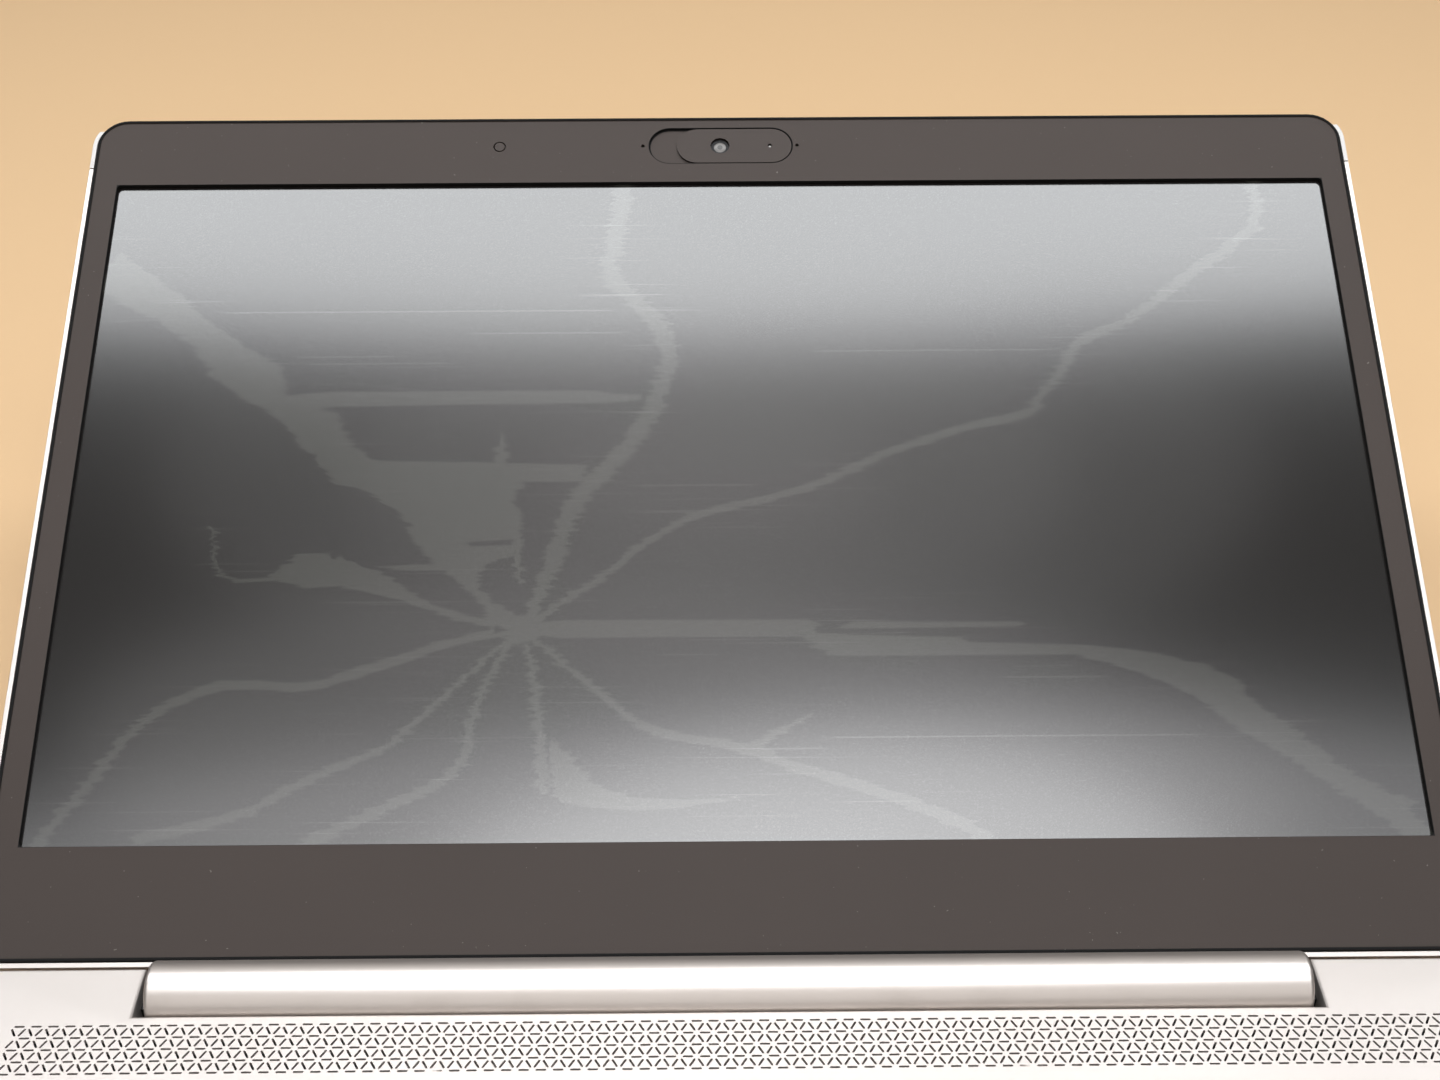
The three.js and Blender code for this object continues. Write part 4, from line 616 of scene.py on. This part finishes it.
key_web = make_piece("key_web", box_skin(web_x, web_y, (web_low.z, web_low.z + WEB_THICKNESS)))
carve(key_web, *windows)
dress(key_web, black_plastic)
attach(key_web, "base")
dress(frame["nodes"]["keyboard_tray"], dark_steel)

# Touchpad and power button
# A sheet of etched glass, two buttons in front of it and a small bar for power, all in the
# deck's silver. The glass is smoother than the metal round it.


def etched_glass(place):
    """Fine-etched silver-grey glass, polished a little in the middle by fingers."""
    etch = place.noise(0.2 * MM, detail=2)
    rub = place.noise(30 * MM, detail=2).step(0.45, 0.75)
    return {
        "Base Color": rub.tint((0.56, 0.54, 0.53, 1), (0.52, 0.50, 0.49, 1)),
        "Roughness": 0.36 + 0.05 * etch - 0.1 * rub,
        "Coat Weight": 0.25,
        "Coat Roughness": 0.2,
        "Normal": etch.relief(0.003 * MM),
    }


pad_glass = finish("etched_glass", etched_glass)
for node, material in (("touchpad", pad_glass), ("touchpad_button_left", pad_glass),
                       ("touchpad_button_right", pad_glass), ("power_button", aluminium)):
    stand_in(node, material, edge=0.18 * MM, steps=3)

# Hinge
# Steel brackets in the base's ears hold two pins, and leaves on the pins carry the lid. A satin
# aluminium barrel turns with the lid and hides them.
LID_LEAN = -radians(hinge["range_deg"][0])
BARREL_RADIUS = 7 * MM
BARREL_WALL = 0.9 * MM
BARREL_END_DEPTH = 26 * MM
BARREL_SIDES = 128
FLANGE = {"along": 3 * MM, "up": (2 * MM, 14 * MM), "out": (-6.8 * MM, -5.6 * MM)}


def on_lid(points):
    """Places (across, up the lid from the hinge axis, out of the screen) turned by the lid's lean."""
    across, up, out = np.moveaxis(np.asarray(points, float), -1, 0)
    back = HINGE[1] + up * cos(LID_LEAN) - out * sin(LID_LEAN)
    height = HINGE[2] + up * sin(LID_LEAN) + out * cos(LID_LEAN)
    return np.stack([across, back, height], axis=-1)


def barrel_skin(half):
    """A tube turned about the hinge axis: a profile of (radius, place along the axis) that runs from
    the bottom of one end's bore over the rounded rim to the other end."""
    bend = np.linspace(0, np.pi / 2, 7)
    bore = BARREL_RADIUS - BARREL_WALL
    lip = 0.25 * MM
    edge = 0.6 * MM
    inner = [(0.5 * MM, BARREL_END_DEPTH), (bore, BARREL_END_DEPTH), (bore, lip), (bore + lip, 0)]
    rim = np.stack([BARREL_RADIUS - edge + edge * np.sin(bend), edge * 1.6 * (1 - np.cos(bend))], axis=-1)
    profile = np.concatenate([inner, rim])
    radius = np.concatenate([profile[:, 0], profile[::-1, 0]])
    along = np.concatenate([profile[:, 1] - half, half - profile[::-1, 1]])
    angle = np.linspace(0, 2 * np.pi, BARREL_SIDES, endpoint=False)
    up = radius[:, None] * np.cos(angle)
    out = radius[:, None] * np.sin(angle)
    rings = np.stack([np.repeat(along[:, None], BARREL_SIDES, axis=1), up, out], axis=-1)
    return loft(on_lid(rings))


def satin_barrel(place):
    """Satin silver with very fine lines along the barrel."""
    lines = place.noise(0.12 * MM, detail=2, stretch=(60, 1, 1))
    dust = place.noise(16 * MM, detail=4).step(0.5, 0.8)
    return {
        "Base Color": dust.tint((0.68, 0.63, 0.595, 1), (0.63, 0.58, 0.545, 1)),
        "Metallic": 0.95,
        "Roughness": 0.34 + 0.05 * lines + 0.05 * dust,
        "Normal": lines.relief(0.002 * MM),
    }


barrel_low, barrel_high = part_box("hinge_barrel_cover")
flange_x = (barrel_low.x + FLANGE["along"], barrel_high.x - FLANGE["along"])
flange_points, flange_faces = box_skin(flange_x, FLANGE["up"], FLANGE["out"])
barrel = make_piece("hinge_barrel", barrel_skin(barrel_high.x), (on_lid(flange_points), flange_faces))
soften(barrel, angle=40)
put_in_place(barrel, "hinge_barrel_cover", finish("satin_barrel", satin_barrel))
for side in ("left", "right"):
    dress(frame["nodes"]["hinge_bracket_" + side], dark_steel)
    dress(frame["nodes"]["hinge_leaf_" + side], dark_steel)
    dress(frame["nodes"]["hinge_pin_" + side], bright_steel)

# Lid cover
# A thin aluminium shell behind the display, blasted like the base, with a painted plastic strip
# along its top edge that lets radio through.


def strip_paint(place):
    """Silver paint on plastic, a little darker and more even than the metal."""
    flake = place.noise(0.2 * MM, detail=2)
    return {
        "Base Color": flake.tint((0.42, 0.405, 0.395, 1), (0.47, 0.455, 0.445, 1)),
        "Metallic": 0.35,
        "Roughness": 0.44 + 0.06 * flake,
        "Normal": flake.relief(0.003 * MM),
    }


for node, material in (("lid_cover", aluminium), ("antenna_strip", finish("strip_paint", strip_paint))):
    stand_in(node, material, edge=0.18 * MM)

# Display
# Glass cell, backlight sheets and a matte polarising film on the front. A blow near the lower left
# broke the cell, and its layers have come apart in pale bands that run out from that point.
SCREEN_BOTTOM = 33 * MM
FILM_FRONT = -3.7 * MM
FILM_BACK = -3.9 * MM
PANEL_SIDE = 156.8 * MM
PANEL_UP = (31.4 * MM, 210.1 * MM)
PANEL_GRID = (393, 224)
# Bands as lines: width at the start and at the end, then [right, up] places, all in millimetres
# from the middle of the screen's bottom edge
BAND_LINES = (
    (1.4, 4.2, [(-46, 52), (-45, 55), (-43, 60), (-41, 67)]),
    (4.2, 4.6, [(-41, 67), (-38, 76), (-35, 84), (-31, 90), (-27, 94), (-23, 98), (-20, 104), (-17, 110),
                (-14, 118), (-13, 126), (-15, 132), (-19, 137), (-24, 143), (-28, 147), (-28, 152),
                (-27, 158), (-26, 165), (-24.5, 178)]),
    (1.5, 3.2, [(-46, 52), (-40, 56.5), (-35, 60), (-28, 65), (-20, 72), (-13, 77), (-8, 80), (-1, 82),
                (10, 84.5), (20, 87.5), (30, 92), (40, 97), (50, 100.5), (58, 103.5), (70, 106), (75, 108),
                (80, 115), (84, 121), (88, 126.5), (92, 129.5), (100, 133), (107, 137.5), (113, 143),
                (119, 148), (125, 152), (130, 156), (136, 161), (138, 167), (137, 178)]),
    (1.2, 3.0, [(-46, 50), (-42, 47), (-38, 43), (-33, 39), (-27, 34), (-23, 30), (-18, 27), (-10, 24.5),
                (0, 23), (8, 20.5), (15, 17.5), (25, 14.5), (35, 11), (45, 7), (52, 4), (60, -2)]),
    (2.2, 0.6, [(6, 22.5), (12, 26), (20, 30)]),
    (0.8, 3.2, [(-46.5, 50), (-45.5, 46), (-44, 40), (-43, 33), (-42, 26), (-41.3, 19), (-41, 13)]),
    (1.2, 3.0, [(-48, 50), (-50, 47), (-53, 42), (-56, 35), (-58, 27), (-59, 20), (-62, 16), (-67, 13),
                (-74, 9.5), (-80, 6.5), (-90, 2), (-96, -2)]),
    (1.0, 2.6, [(-48.5, 50), (-53, 46), (-58, 41), (-64, 35), (-70, 29), (-77, 22.5), (-83, 20), (-90, 17),
                (-98, 13), (-105, 8.5), (-112, 6), (-120, 4), (-130, 2)]),
    (2.2, 2.4, [(-48, 51), (-51, 50.5), (-58, 49.5), (-66, 47), (-75, 44), (-85, 40.5), (-92, 38),
                (-98, 37.3), (-106, 38), (-115, 38), (-122, 35.5), (-129, 31.5), (-133, 28), (-138, 21),
                (-143, 14), (-148, 6), (-154, -2)]),
    (1.6, 2.4, [(-49, 52), (-55, 53), (-62, 54.5), (-70, 58), (-78, 62), (-85, 66), (-90, 69)]),
    (1.1, 0.7, [(-105, 64.5), (-114, 64), (-118, 66), (-120, 71), (-121, 78)]),
    (1.8, 0.8, [(-48.4, 73), (-48.4, 67), (-48, 63)]),
    (7.0, 7.0, [(-48, 51), (-46.5, 51.5)]),
)
# Bands as closed outlines
BAND_PATCHES = (
    [(-152, 156), (-145, 150), (-137, 144), (-130, 137), (-120, 129), (-110, 123), (-107, 119), (-105, 113),
     (-100, 110), (-94, 109), (-90, 101), (-85, 96), (-82, 95.5), (-55, 94.8), (-53.7, 104), (-51.5, 94.6),
     (-33, 94), (-33, 89.5), (-48, 89.5), (-50, 85), (-48, 80), (-48, 72), (-50, 69.5), (-54, 69),
     (-56.5, 67), (-57.5, 64), (-56.5, 60.5), (-53, 57.5), (-50, 56), (-46, 52), (-50, 51), (-55, 54),
     (-58, 59), (-64, 65), (-70, 70), (-73.5, 75), (-76, 80), (-81, 84.5), (-87, 88.4), (-93.5, 89.2),
     (-93.5, 90.4), (-97, 95), (-103, 101), (-110, 109), (-118, 113), (-125, 119), (-132, 129),
     (-140, 135), (-158, 145)],
    [(-107, 113.6), (-97, 114.6), (-60, 114.6), (-31, 114.5), (-27, 113.6), (-20, 113.1), (-20, 111.7),
     (-27, 111), (-60, 110.8), (-95, 110.4), (-105, 108.5)],
    [(-81, 67.2), (-74, 67.9), (-66, 68), (-66, 66.4), (-76, 66.4)],
    [(-46, 52.5), (-38, 53.5), (20, 53.2), (22, 50), (28, 49.3), (55, 48.5), (56, 47.2), (80, 46.5),
     (90, 45.5), (100, 44), (110, 41), (118, 37), (118, 34), (125, 28), (132, 22), (140, 15), (148, 10),
     (152, 9), (152, 5), (158, 0), (150, -2), (145, 4), (135, 12), (125, 19), (115, 26), (108, 32),
     (102, 36), (95, 39), (87, 42), (80, 44), (25, 44), (21, 46), (18, 49), (-38, 49), (-46, 50)],
    [(26, 51), (30, 52.6), (69, 52.3), (69, 51), (30, 50.8)],
    [(-40, 25), (-35, 21), (-30, 14), (-25, 12), (-20, 10.5), (-10, 10), (0, 10.3), (8, 11.5), (0, 9.6),
     (-10, 8), (-20, 7.5), (-30, 8.3), (-37, 9.5), (-41, 12)],
    [(-107, 65), (-100, 71), (-93, 71), (-89, 68), (-80, 66), (-70, 59), (-70, 57), (-80, 60), (-90, 62.5),
     (-98, 62)],
)
DARK_SLITS = (
    [(-60, 73.7), (-50, 74.3), (-50, 72.8), (-60, 72.5)],
    [(-40.3, 26), (-39.7, 26), (-39.2, 12), (-39.9, 12)],
    [(-54.6, 51.6), (-52.6, 52.4), (-51.4, 51.2), (-52.8, 50.2)],
)
# Rows of the panel that show as thin pale streaks: how far up, and the left and right end
STREAKS = ((137.5, -127, -25), (131, -65, -22), (125.3, 20, 85), (124.5, -107, -78), (122.5, -105, -65),
           (88.3, -25, 10), (38.5, 60, 90), (24.3, 20, 110))
STREAK_FADE = 6


def lid_axes(place):
    """How far places lie across, up the lid from the hinge axis, and out of the screen."""
    from_hinge = place.node("VectorMath", {0: place, 1: HINGE}, {"operation": "SUBTRACT"})
    upwards = (0, cos(LID_LEAN), sin(LID_LEAN))
    outwards = (0, -sin(LID_LEAN), cos(LID_LEAN))
    return [
        place.node("VectorMath", {0: from_hinge, 1: along}, {"operation": "DOT_PRODUCT"}, output="Value")
        for along in ((1, 0, 0), upwards, outwards)
    ]


def to_segments(right, up, points):
    """For every place, its distance to each of a line's segments and how far along the nearest
    point lies: the place is dropped onto the segment, and the drop is held between its ends."""
    start, end = np.array(points[:-1], float), np.array(points[1:], float)
    run = end - start
    rel_right, rel_up = right[..., None] - start[:, 0], up[..., None] - start[:, 1]
    share = np.clip((rel_right * run[:, 0] + rel_up * run[:, 1]) / (run**2).sum(axis=1), 0, 1)
    gap = np.hypot(rel_right - share * run[:, 0], rel_up - share * run[:, 1])
    return gap, share


def line_depth(right, up, first, last, points):
    """How deep places lie inside a line whose width runs evenly from first to last."""
    gap, share = to_segments(right, up, points)
    step = (share + np.arange(len(points) - 1)) / (len(points) - 1)
    return ((first + (last - first) * step) / 2 - gap).max(axis=-1)


def patch_depth(right, up, points):
    """How deep places lie inside a closed outline: the distance to its edge, negative outside. A
    place is inside if a level line from it crosses the edge an odd number of times."""
    closed = np.array(points + points[:1], float)
    gap, _ = to_segments(right, up, closed)
    (x0, y0), (x1, y1) = closed[:-1].T, closed[1:].T
    spans = (y0 > up[..., None]) != (y1 > up[..., None])
    rise = np.where(y1 == y0, 1, y1 - y0)
    crossing = x0 + (up[..., None] - y0) * (x1 - x0) / rise
    inside = (spans & (right[..., None] < crossing)).sum(axis=-1) % 2 == 1
    return np.where(inside, 1, -1) * gap.min(axis=-1)


def bleed_depth(right, up):
    """How deep places lie inside any pale band, in millimetres, cut back by the dark slits."""
    lines = [line_depth(right, up, *line) for line in BAND_LINES]
    patches = [patch_depth(right, up, points) for points in BAND_PATCHES]
    slits = [patch_depth(right, up, points) for points in DARK_SLITS]
    return np.minimum(np.max(lines + patches, axis=0), -np.max(slits, axis=0))


def film_skin():
    """A level grid on the film's front whose rim is folded straight back, with one face behind."""
    columns, rows = PANEL_GRID
    across = np.linspace(-PANEL_SIDE, PANEL_SIDE, columns)
    upwards = np.linspace(*PANEL_UP, rows)
    right, up = np.meshgrid(across, upwards)
    front = np.stack([right, up, np.full_like(right, FILM_FRONT)], axis=-1).reshape(-1, 3)
    index = np.arange(columns * rows).reshape(rows, columns)
    quads = np.stack([index[:-1, :-1], index[:-1, 1:], index[1:, 1:], index[1:, :-1]], -1).reshape(-1, 4)
    rim = np.concatenate([index[0], index[1:, -1], index[-1, -2::-1], index[-2:0:-1, 0]])
    behind = front[rim] * (1, 1, 0) + (0, 0, FILM_BACK)
    fold = np.arange(len(rim)) + len(front)
    walls = np.stack([rim, fold, np.roll(fold, -1), np.roll(rim, -1)], axis=-1)
    faces = quads.tolist() + walls.tolist() + [fold[::-1].tolist()]
    return np.concatenate([front, behind]), faces


def cracked_film(place):
    """Dark anti-glare film. The bands' depth, torn sideways along the panel's rows by noise, is a
    mask for a paler, greener film, and thin level streaks run out from the bands."""
    depth = place.node("Attribute", {}, {"attribute_name": "bleed"}, output="Fac")
    lean = place.node("Attribute", {}, {"attribute_name": "bleed_lean"}, output="Fac")
    tear = place.noise(0.85 * MM, detail=4, stretch=(12, 1, 1))
    band = (depth + 9.0 * lean * (tear - 0.5)).step(-0.25, 0.25)
    streak = place.noise(0.55 * MM, detail=1, stretch=(90, 1, 1)).step(0.66, 0.73) * depth.step(-14, 0)
    across, up, _ = lid_axes(place)
    for height, left, right in STREAKS:
        on_row = 1 - abs(up - (SCREEN_BOTTOM + height * MM)).step(0.12 * MM, 0.28 * MM)
        after_left = across.step(left * MM, (left + STREAK_FADE) * MM)
        before_right = 1 - across.step((right - STREAK_FADE) * MM, right * MM)
        streak = streak.larger(on_row * after_left * before_right)
    pale = band + 0.5 * streak * (1 - band)
    sparkle = place.noise(0.36 * MM, detail=3)
    return {
        "Base Color": pale.tint((0.0078, 0.0068, 0.0063, 1), (0.0235, 0.0235, 0.0198, 1)),
        "Roughness": 0.13 + 0.006 * band + 0.04 * sparkle,
        "Specular IOR Level": 1.0,
        "Coat Weight": 0.14 * band + 0.25 * streak + 0.3 * sparkle.step(0.5, 0.72),
        "Coat Roughness": 0.16,
        "Normal": sparkle.relief(0.0012 * MM),
    }


film_points, film_faces = film_skin()
film = make_piece("screen_film", (on_lid(film_points), film_faces))
depths = bleed_depth(film_points[:, 0] / MM, (film_points[:, 1] - SCREEN_BOTTOM) / MM)
on_front = depths[:PANEL_GRID[0] * PANEL_GRID[1]].reshape(PANEL_GRID[::-1])
leans = np.zeros_like(depths)
leans[:on_front.size] = np.gradient(on_front, 2 * PANEL_SIDE / MM / (PANEL_GRID[0] - 1), axis=1).ravel()
for name, values in (("bleed", np.clip(depths, -16, 8)), ("bleed_lean", leans)):
    layer = film.data.attributes.new(name, "FLOAT", "POINT")
    layer.data.foreach_set("value", values.astype(np.float32))
put_in_place(film, "polariser_film", finish("cracked_film", cracked_film))


def broken_glass(place):
    """Grey cell glass, clouded where its layers have parted."""
    cloud = place.noise(12 * MM, detail=4)
    return {
        "Base Color": cloud.tint((0.2, 0.22, 0.23, 1), (0.34, 0.36, 0.36, 1)),
        "Roughness": 0.12 + 0.2 * cloud,
        "Normal": cloud.relief(0.01 * MM),
    }


def diffuser_sheet(place):
    """White sheet with a faint prism texture in rows."""
    rows = place.noise(0.3 * MM, detail=1, stretch=(50, 1, 1))
    return {
        "Base Color": rows.tint((0.8, 0.8, 0.77, 1), (0.88, 0.88, 0.86, 1)),
        "Roughness": 0.5 + 0.2 * rows,
        "Normal": rows.relief(0.01 * MM),
    }


dress(frame["nodes"]["display_cell"], finish("broken_glass", broken_glass))
dress(frame["nodes"]["backlight_unit"], finish("diffuser_sheet", diffuser_sheet))

# Bezel
# A thin moulded frame, clipped over the panel's edges, in matte warm grey. A darker soft lip
# runs round its rim and keeps the closed lid off the deck.
BEZEL_FRONT = -2.5 * MM
OPENING_SIDE = 155.2 * MM
OPENING_UP = (33 * MM, 208.5 * MM)
WEBCAM_UP = 219.9 * MM
TRACK_MIDDLE = 0.2 * MM
TRACK_STRAIGHT = 13.1 * MM
TRACK_RADIUS = 5.55 * MM


def bezel_plastic(place):
    """Warm grey plastic with a fine moulded grain and a little pale dust. It is black on the lip, which
    stands above the face. Painted shade makes it black on the walls of the screen's opening, and a painted
    shadow makes a black line round the shutter's track: a strip along the edge of a rectangle with
    half-round ends."""
    across, up, out = lid_axes(place)
    beside = abs(across) - OPENING_SIDE
    above = abs(up - sum(OPENING_UP) / 2) - (OPENING_UP[1] - OPENING_UP[0]) / 2
    # Painted shade: the walls of the screen's opening are painted black.
    painted_wall_shade = 1 - beside.larger(above).step(0.03 * MM, 0.12 * MM)
    lip = out.step(BEZEL_FRONT + 0.06 * MM, BEZEL_FRONT + 0.16 * MM)
    past_straight = (abs(across - TRACK_MIDDLE) - TRACK_STRAIGHT).larger(0)
    offset = place.node("CombineXYZ", {"X": past_straight, "Y": up - WEBCAM_UP})
    from_middle = place.node("VectorMath", {0: offset}, {"operation": "LENGTH"}, output="Value")
    past_edge = from_middle - TRACK_RADIUS
    # Painted shadow: a black line is painted along the edge of the shutter's track.
    painted_track_shadow = past_edge.step(-0.42 * MM, -0.3 * MM) * (1 - past_edge.step(0.1 * MM, 0.2 * MM))
    # Black on the lip is its own colour; black on the opening's walls and round the track is painted shade.
    lip_black_and_painted_shade = painted_wall_shade.larger(lip).larger(painted_track_shadow)
    grain = place.noise(0.3 * MM, detail=3)
    mottle = place.noise(30 * MM, detail=3)
    dust = place.noise(0.8 * MM, detail=1).step(0.78, 0.82)
    face = mottle.tint((0.042, 0.0325, 0.0285, 1), (0.047, 0.0365, 0.032, 1))
    dusted = (0.35 * dust).tint(face, (0.3, 0.29, 0.27, 1))
    return {
        "Base Color": lip_black_and_painted_shade.tint(dusted, (0.004, 0.004, 0.004, 1)),
        "Roughness": 0.56 + 0.1 * grain + 0.24 * lip_black_and_painted_shade,
        "Specular IOR Level": 0.22,
        "Normal": grain.relief(0.012 * MM),
    }


stand_in("screen_bezel", finish("bezel_plastic", bezel_plastic), edge=0.12 * MM)

# Webcam, its shutter and the light sensor
# A small lens behind a hole in the bezel, a shutter plate that slides over it in a shallow track,
# and a round light window in the bezel's own colour.
# Profiles of turned pieces: pairs of a radius and a place out of the screen, in millimetres
EYE_PROFILE = ((0.3, -5.6), (3.2, -5.6), (3.2, -3.75), (2.3, -3.7), (2.3, -3.3), (2.18, -3.25),
               (2.0, -3.3), (1.74, -3.5), (1.65, -3.49), (1.4, -3.40), (1.0, -3.33), (0.8, -3.31),
               (0.5, -3.29), (0.15, -3.28))
LAMP_PROFILE = ((0.1, -3.6), (0.5, -3.6), (0.5, -3.3), (0.42, -3.15), (0.25, -3.06), (0.08, -3.04))
LAMP_RIGHT = 13 * MM
TRIM_FRONT = -2.6 * MM
EYE_SIDES = 48


def turned_skin(profile, right):
    """A piece turned about an axis out of the screen: a profile of (radius, place out of the screen)."""
    radius, out = np.array(profile).T[:, :, None] * MM
    angle = np.linspace(0, 2 * np.pi, EYE_SIDES, endpoint=False)
    across = right + radius * np.cos(angle)
    up = WEBCAM_UP + radius * np.sin(angle)
    return loft(on_lid(np.stack([across, up, out + 0 * angle], axis=-1)))


def lens_glass(place):
    """Black barrel, and inside it a lens with a pale outer ring and a darker middle, by radius."""
    radius = place.node("Attribute", {}, {"attribute_name": "from_axis"}, output="Fac")
    barrel_ring = radius.step(1.45, 1.6)
    lens_ring = radius.step(0.6, 0.8)
    glass = lens_ring.tint((0.045, 0.043, 0.041, 1), (0.15, 0.142, 0.135, 1))
    return {
        "Base Color": barrel_ring.tint(glass, (0.012, 0.012, 0.013, 1)),
        "Roughness": 0.3 + 0.25 * barrel_ring,
        "Specular IOR Level": 0.3,
        "Coat Weight": 0.12 * (1 - barrel_ring),
        "Coat Roughness": 0.05,
    }


def lamp_lens(place):
    """Milky plastic over a small white lamp."""
    cloud = place.noise(0.3 * MM, detail=2)
    return {
        "Base Color": cloud.tint((0.30, 0.29, 0.27, 1), (0.38, 0.37, 0.35, 1)),
        "Roughness": 0.25 + 0.1 * cloud,
    }


eye = make_piece("webcam_eye", turned_skin(EYE_PROFILE, 0))
from_axis = eye.data.attributes.new("from_axis", "FLOAT", "POINT")
from_axis.data.foreach_set("value", np.repeat(np.array(EYE_PROFILE)[:, 0], EYE_SIDES).astype(np.float32))
soften(eye)
put_in_place(eye, "webcam_lens", finish("lens_glass", lens_glass))
lamp = make_piece("webcam_lamp", turned_skin(LAMP_PROFILE, LAMP_RIGHT))
soften(lamp)
dress(lamp, finish("lamp_lens", lamp_lens))
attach(lamp, "lid")


def shutter_plastic(place):
    """The bezel's warm grey in a finer grain, with painted shade: black on the walls below the front face.
    """
    grain = place.noise(0.22 * MM, detail=3)
    _, _, out = lid_axes(place)
    # Painted shade: the walls below the front face are painted black as a contact shadow.
    painted_wall_shade = 1 - out.step(TRIM_FRONT - 0.24 * MM, TRIM_FRONT - 0.12 * MM)
    face = grain.tint((0.042, 0.0325, 0.0285, 1), (0.047, 0.0365, 0.032, 1))
    return {
        "Base Color": painted_wall_shade.tint(face, (0.004, 0.004, 0.004, 1)),
        "Roughness": 0.54 + 0.08 * grain,
        "Specular IOR Level": 0.22,
        "Normal": grain.relief(0.008 * MM),
    }


trim_plastic = finish("shutter_plastic", shutter_plastic)
for node in ("webcam_shutter", "light_sensor_window"):
    stand_in(node, trim_plastic, edge=0.1 * MM)

# Floor, light and camera
# A plain pale floor, soft lights overhead and a camera where the photograph was taken from.
FLOOR_REACH = 6.0
SMALLEST_LAYER = 0.3
LAYER_GAP = 2 * MM
LIT_PLACE = 120 * MM
CAMERA_PLACE = (-4.0 * MM, -262.64 * MM, 332.39 * MM)
CAMERA_DOWN = 36.5
CAMERA_YAW = -0.456
CAMERA_ROLL = -0.149
CAMERA_LENS = 48.85
CAMERA_SENSOR = 36.0


def pale_floor(place):
    """Plain warm floor with hardly any mottle."""
    mottle = place.noise(400 * MM, detail=2)
    return {
        "Base Color": mottle.tint((0.60, 0.405, 0.225, 1), (0.62, 0.425, 0.24, 1)),
        "Roughness": 0.7,
    }


floor_points = FLOOR_REACH * np.array([(-1, -1, 0), (1, -1, 0), (1, 1, 0), (-1, 1, 0)])
floor = make_piece("floor", (floor_points, [[0, 1, 2, 3]]))
dress(floor, finish("pale_floor", pale_floor))

world = bpy.data.worlds.new("room")
bpy.context.scene.world = world
world.use_nodes = True
world.node_tree.nodes["Background"].inputs["Color"].default_value = (1.0, 0.96, 0.92, 1)
world.node_tree.nodes["Background"].inputs["Strength"].default_value = 0.13


def soft_light(name, place, size, glow, colour, layers=1):
    """Soft ellipses that face the screen's middle, each smaller than the last, so that the light
    fades from its middle to its edge. Their glows add up to the light's glow, and the power of each
    is its glow times pi times its area."""
    for layer, share in enumerate(np.linspace(1, SMALLEST_LAYER, layers)):
        data = bpy.data.lights.new(name, "AREA")
        data.shape = "ELLIPSE"
        data.size, data.size_y = share * size[0], share * size[1]
        data.energy = glow / layers * np.pi * (np.pi / 4 * data.size * data.size_y)
        data.color = colour
        lamp = bpy.data.objects.new(name, data)
        lamp.location = Vector(place) - Vector((0, 0, LAYER_GAP * layer))
        lamp.rotation_euler = (screen_middle - lamp.location).to_track_quat("-Z", "Y").to_euler()
        lamp.visible_camera = False
        bpy.context.scene.collection.objects.link(lamp)


screen_middle = Vector(on_lid((0, LIT_PLACE, 0)))
soft_light("back_light", (0, 0.398, 1.07), (2.2, 0.37), 6.8, (0.955, 0.98, 1.0))
soft_light("front_light", (0.055, -0.27, 1.07), (0.68, 0.37), 7.6, (0.97, 0.98, 1.0), layers=2)
soft_light("front_wide_light", (0.02, -0.30, 1.07), (1.9, 0.46), 4.3, (0.97, 0.98, 1.0), layers=2)
soft_light("middle_light", (0.0, 0.112, 1.07), (0.84, 0.31), 1.38, (1.0, 0.98, 0.97), layers=3)
soft_light("lower_light", (-0.02, -0.125, 1.07), (0.94, 0.30), 0.86, (1.0, 0.985, 0.975))
soft_light("far_light", (0, 1.6, 1.25), (2.7, 1.15), 0.42, (1.0, 0.95, 0.90))
soft_light("near_light", (0, -1.5, 0.9), (2.7, 1.9), 0.85, (1.0, 0.96, 0.93))

lens = bpy.data.cameras.new("camera")
lens.lens = CAMERA_LENS
lens.sensor_width = CAMERA_SENSOR
camera = bpy.data.objects.new("camera", lens)
turns = (("Z", CAMERA_YAW), ("X", 90 - CAMERA_DOWN), ("Z", CAMERA_ROLL))
pose = Matrix.Translation(CAMERA_PLACE)
for axis, degrees in turns:
    pose = pose @ Matrix.Rotation(radians(degrees), 4, axis)
camera.matrix_world = pose
bpy.context.scene.collection.objects.link(camera)
bpy.context.scene.camera = camera
bpy.context.scene.view_settings.view_transform = "Standard"
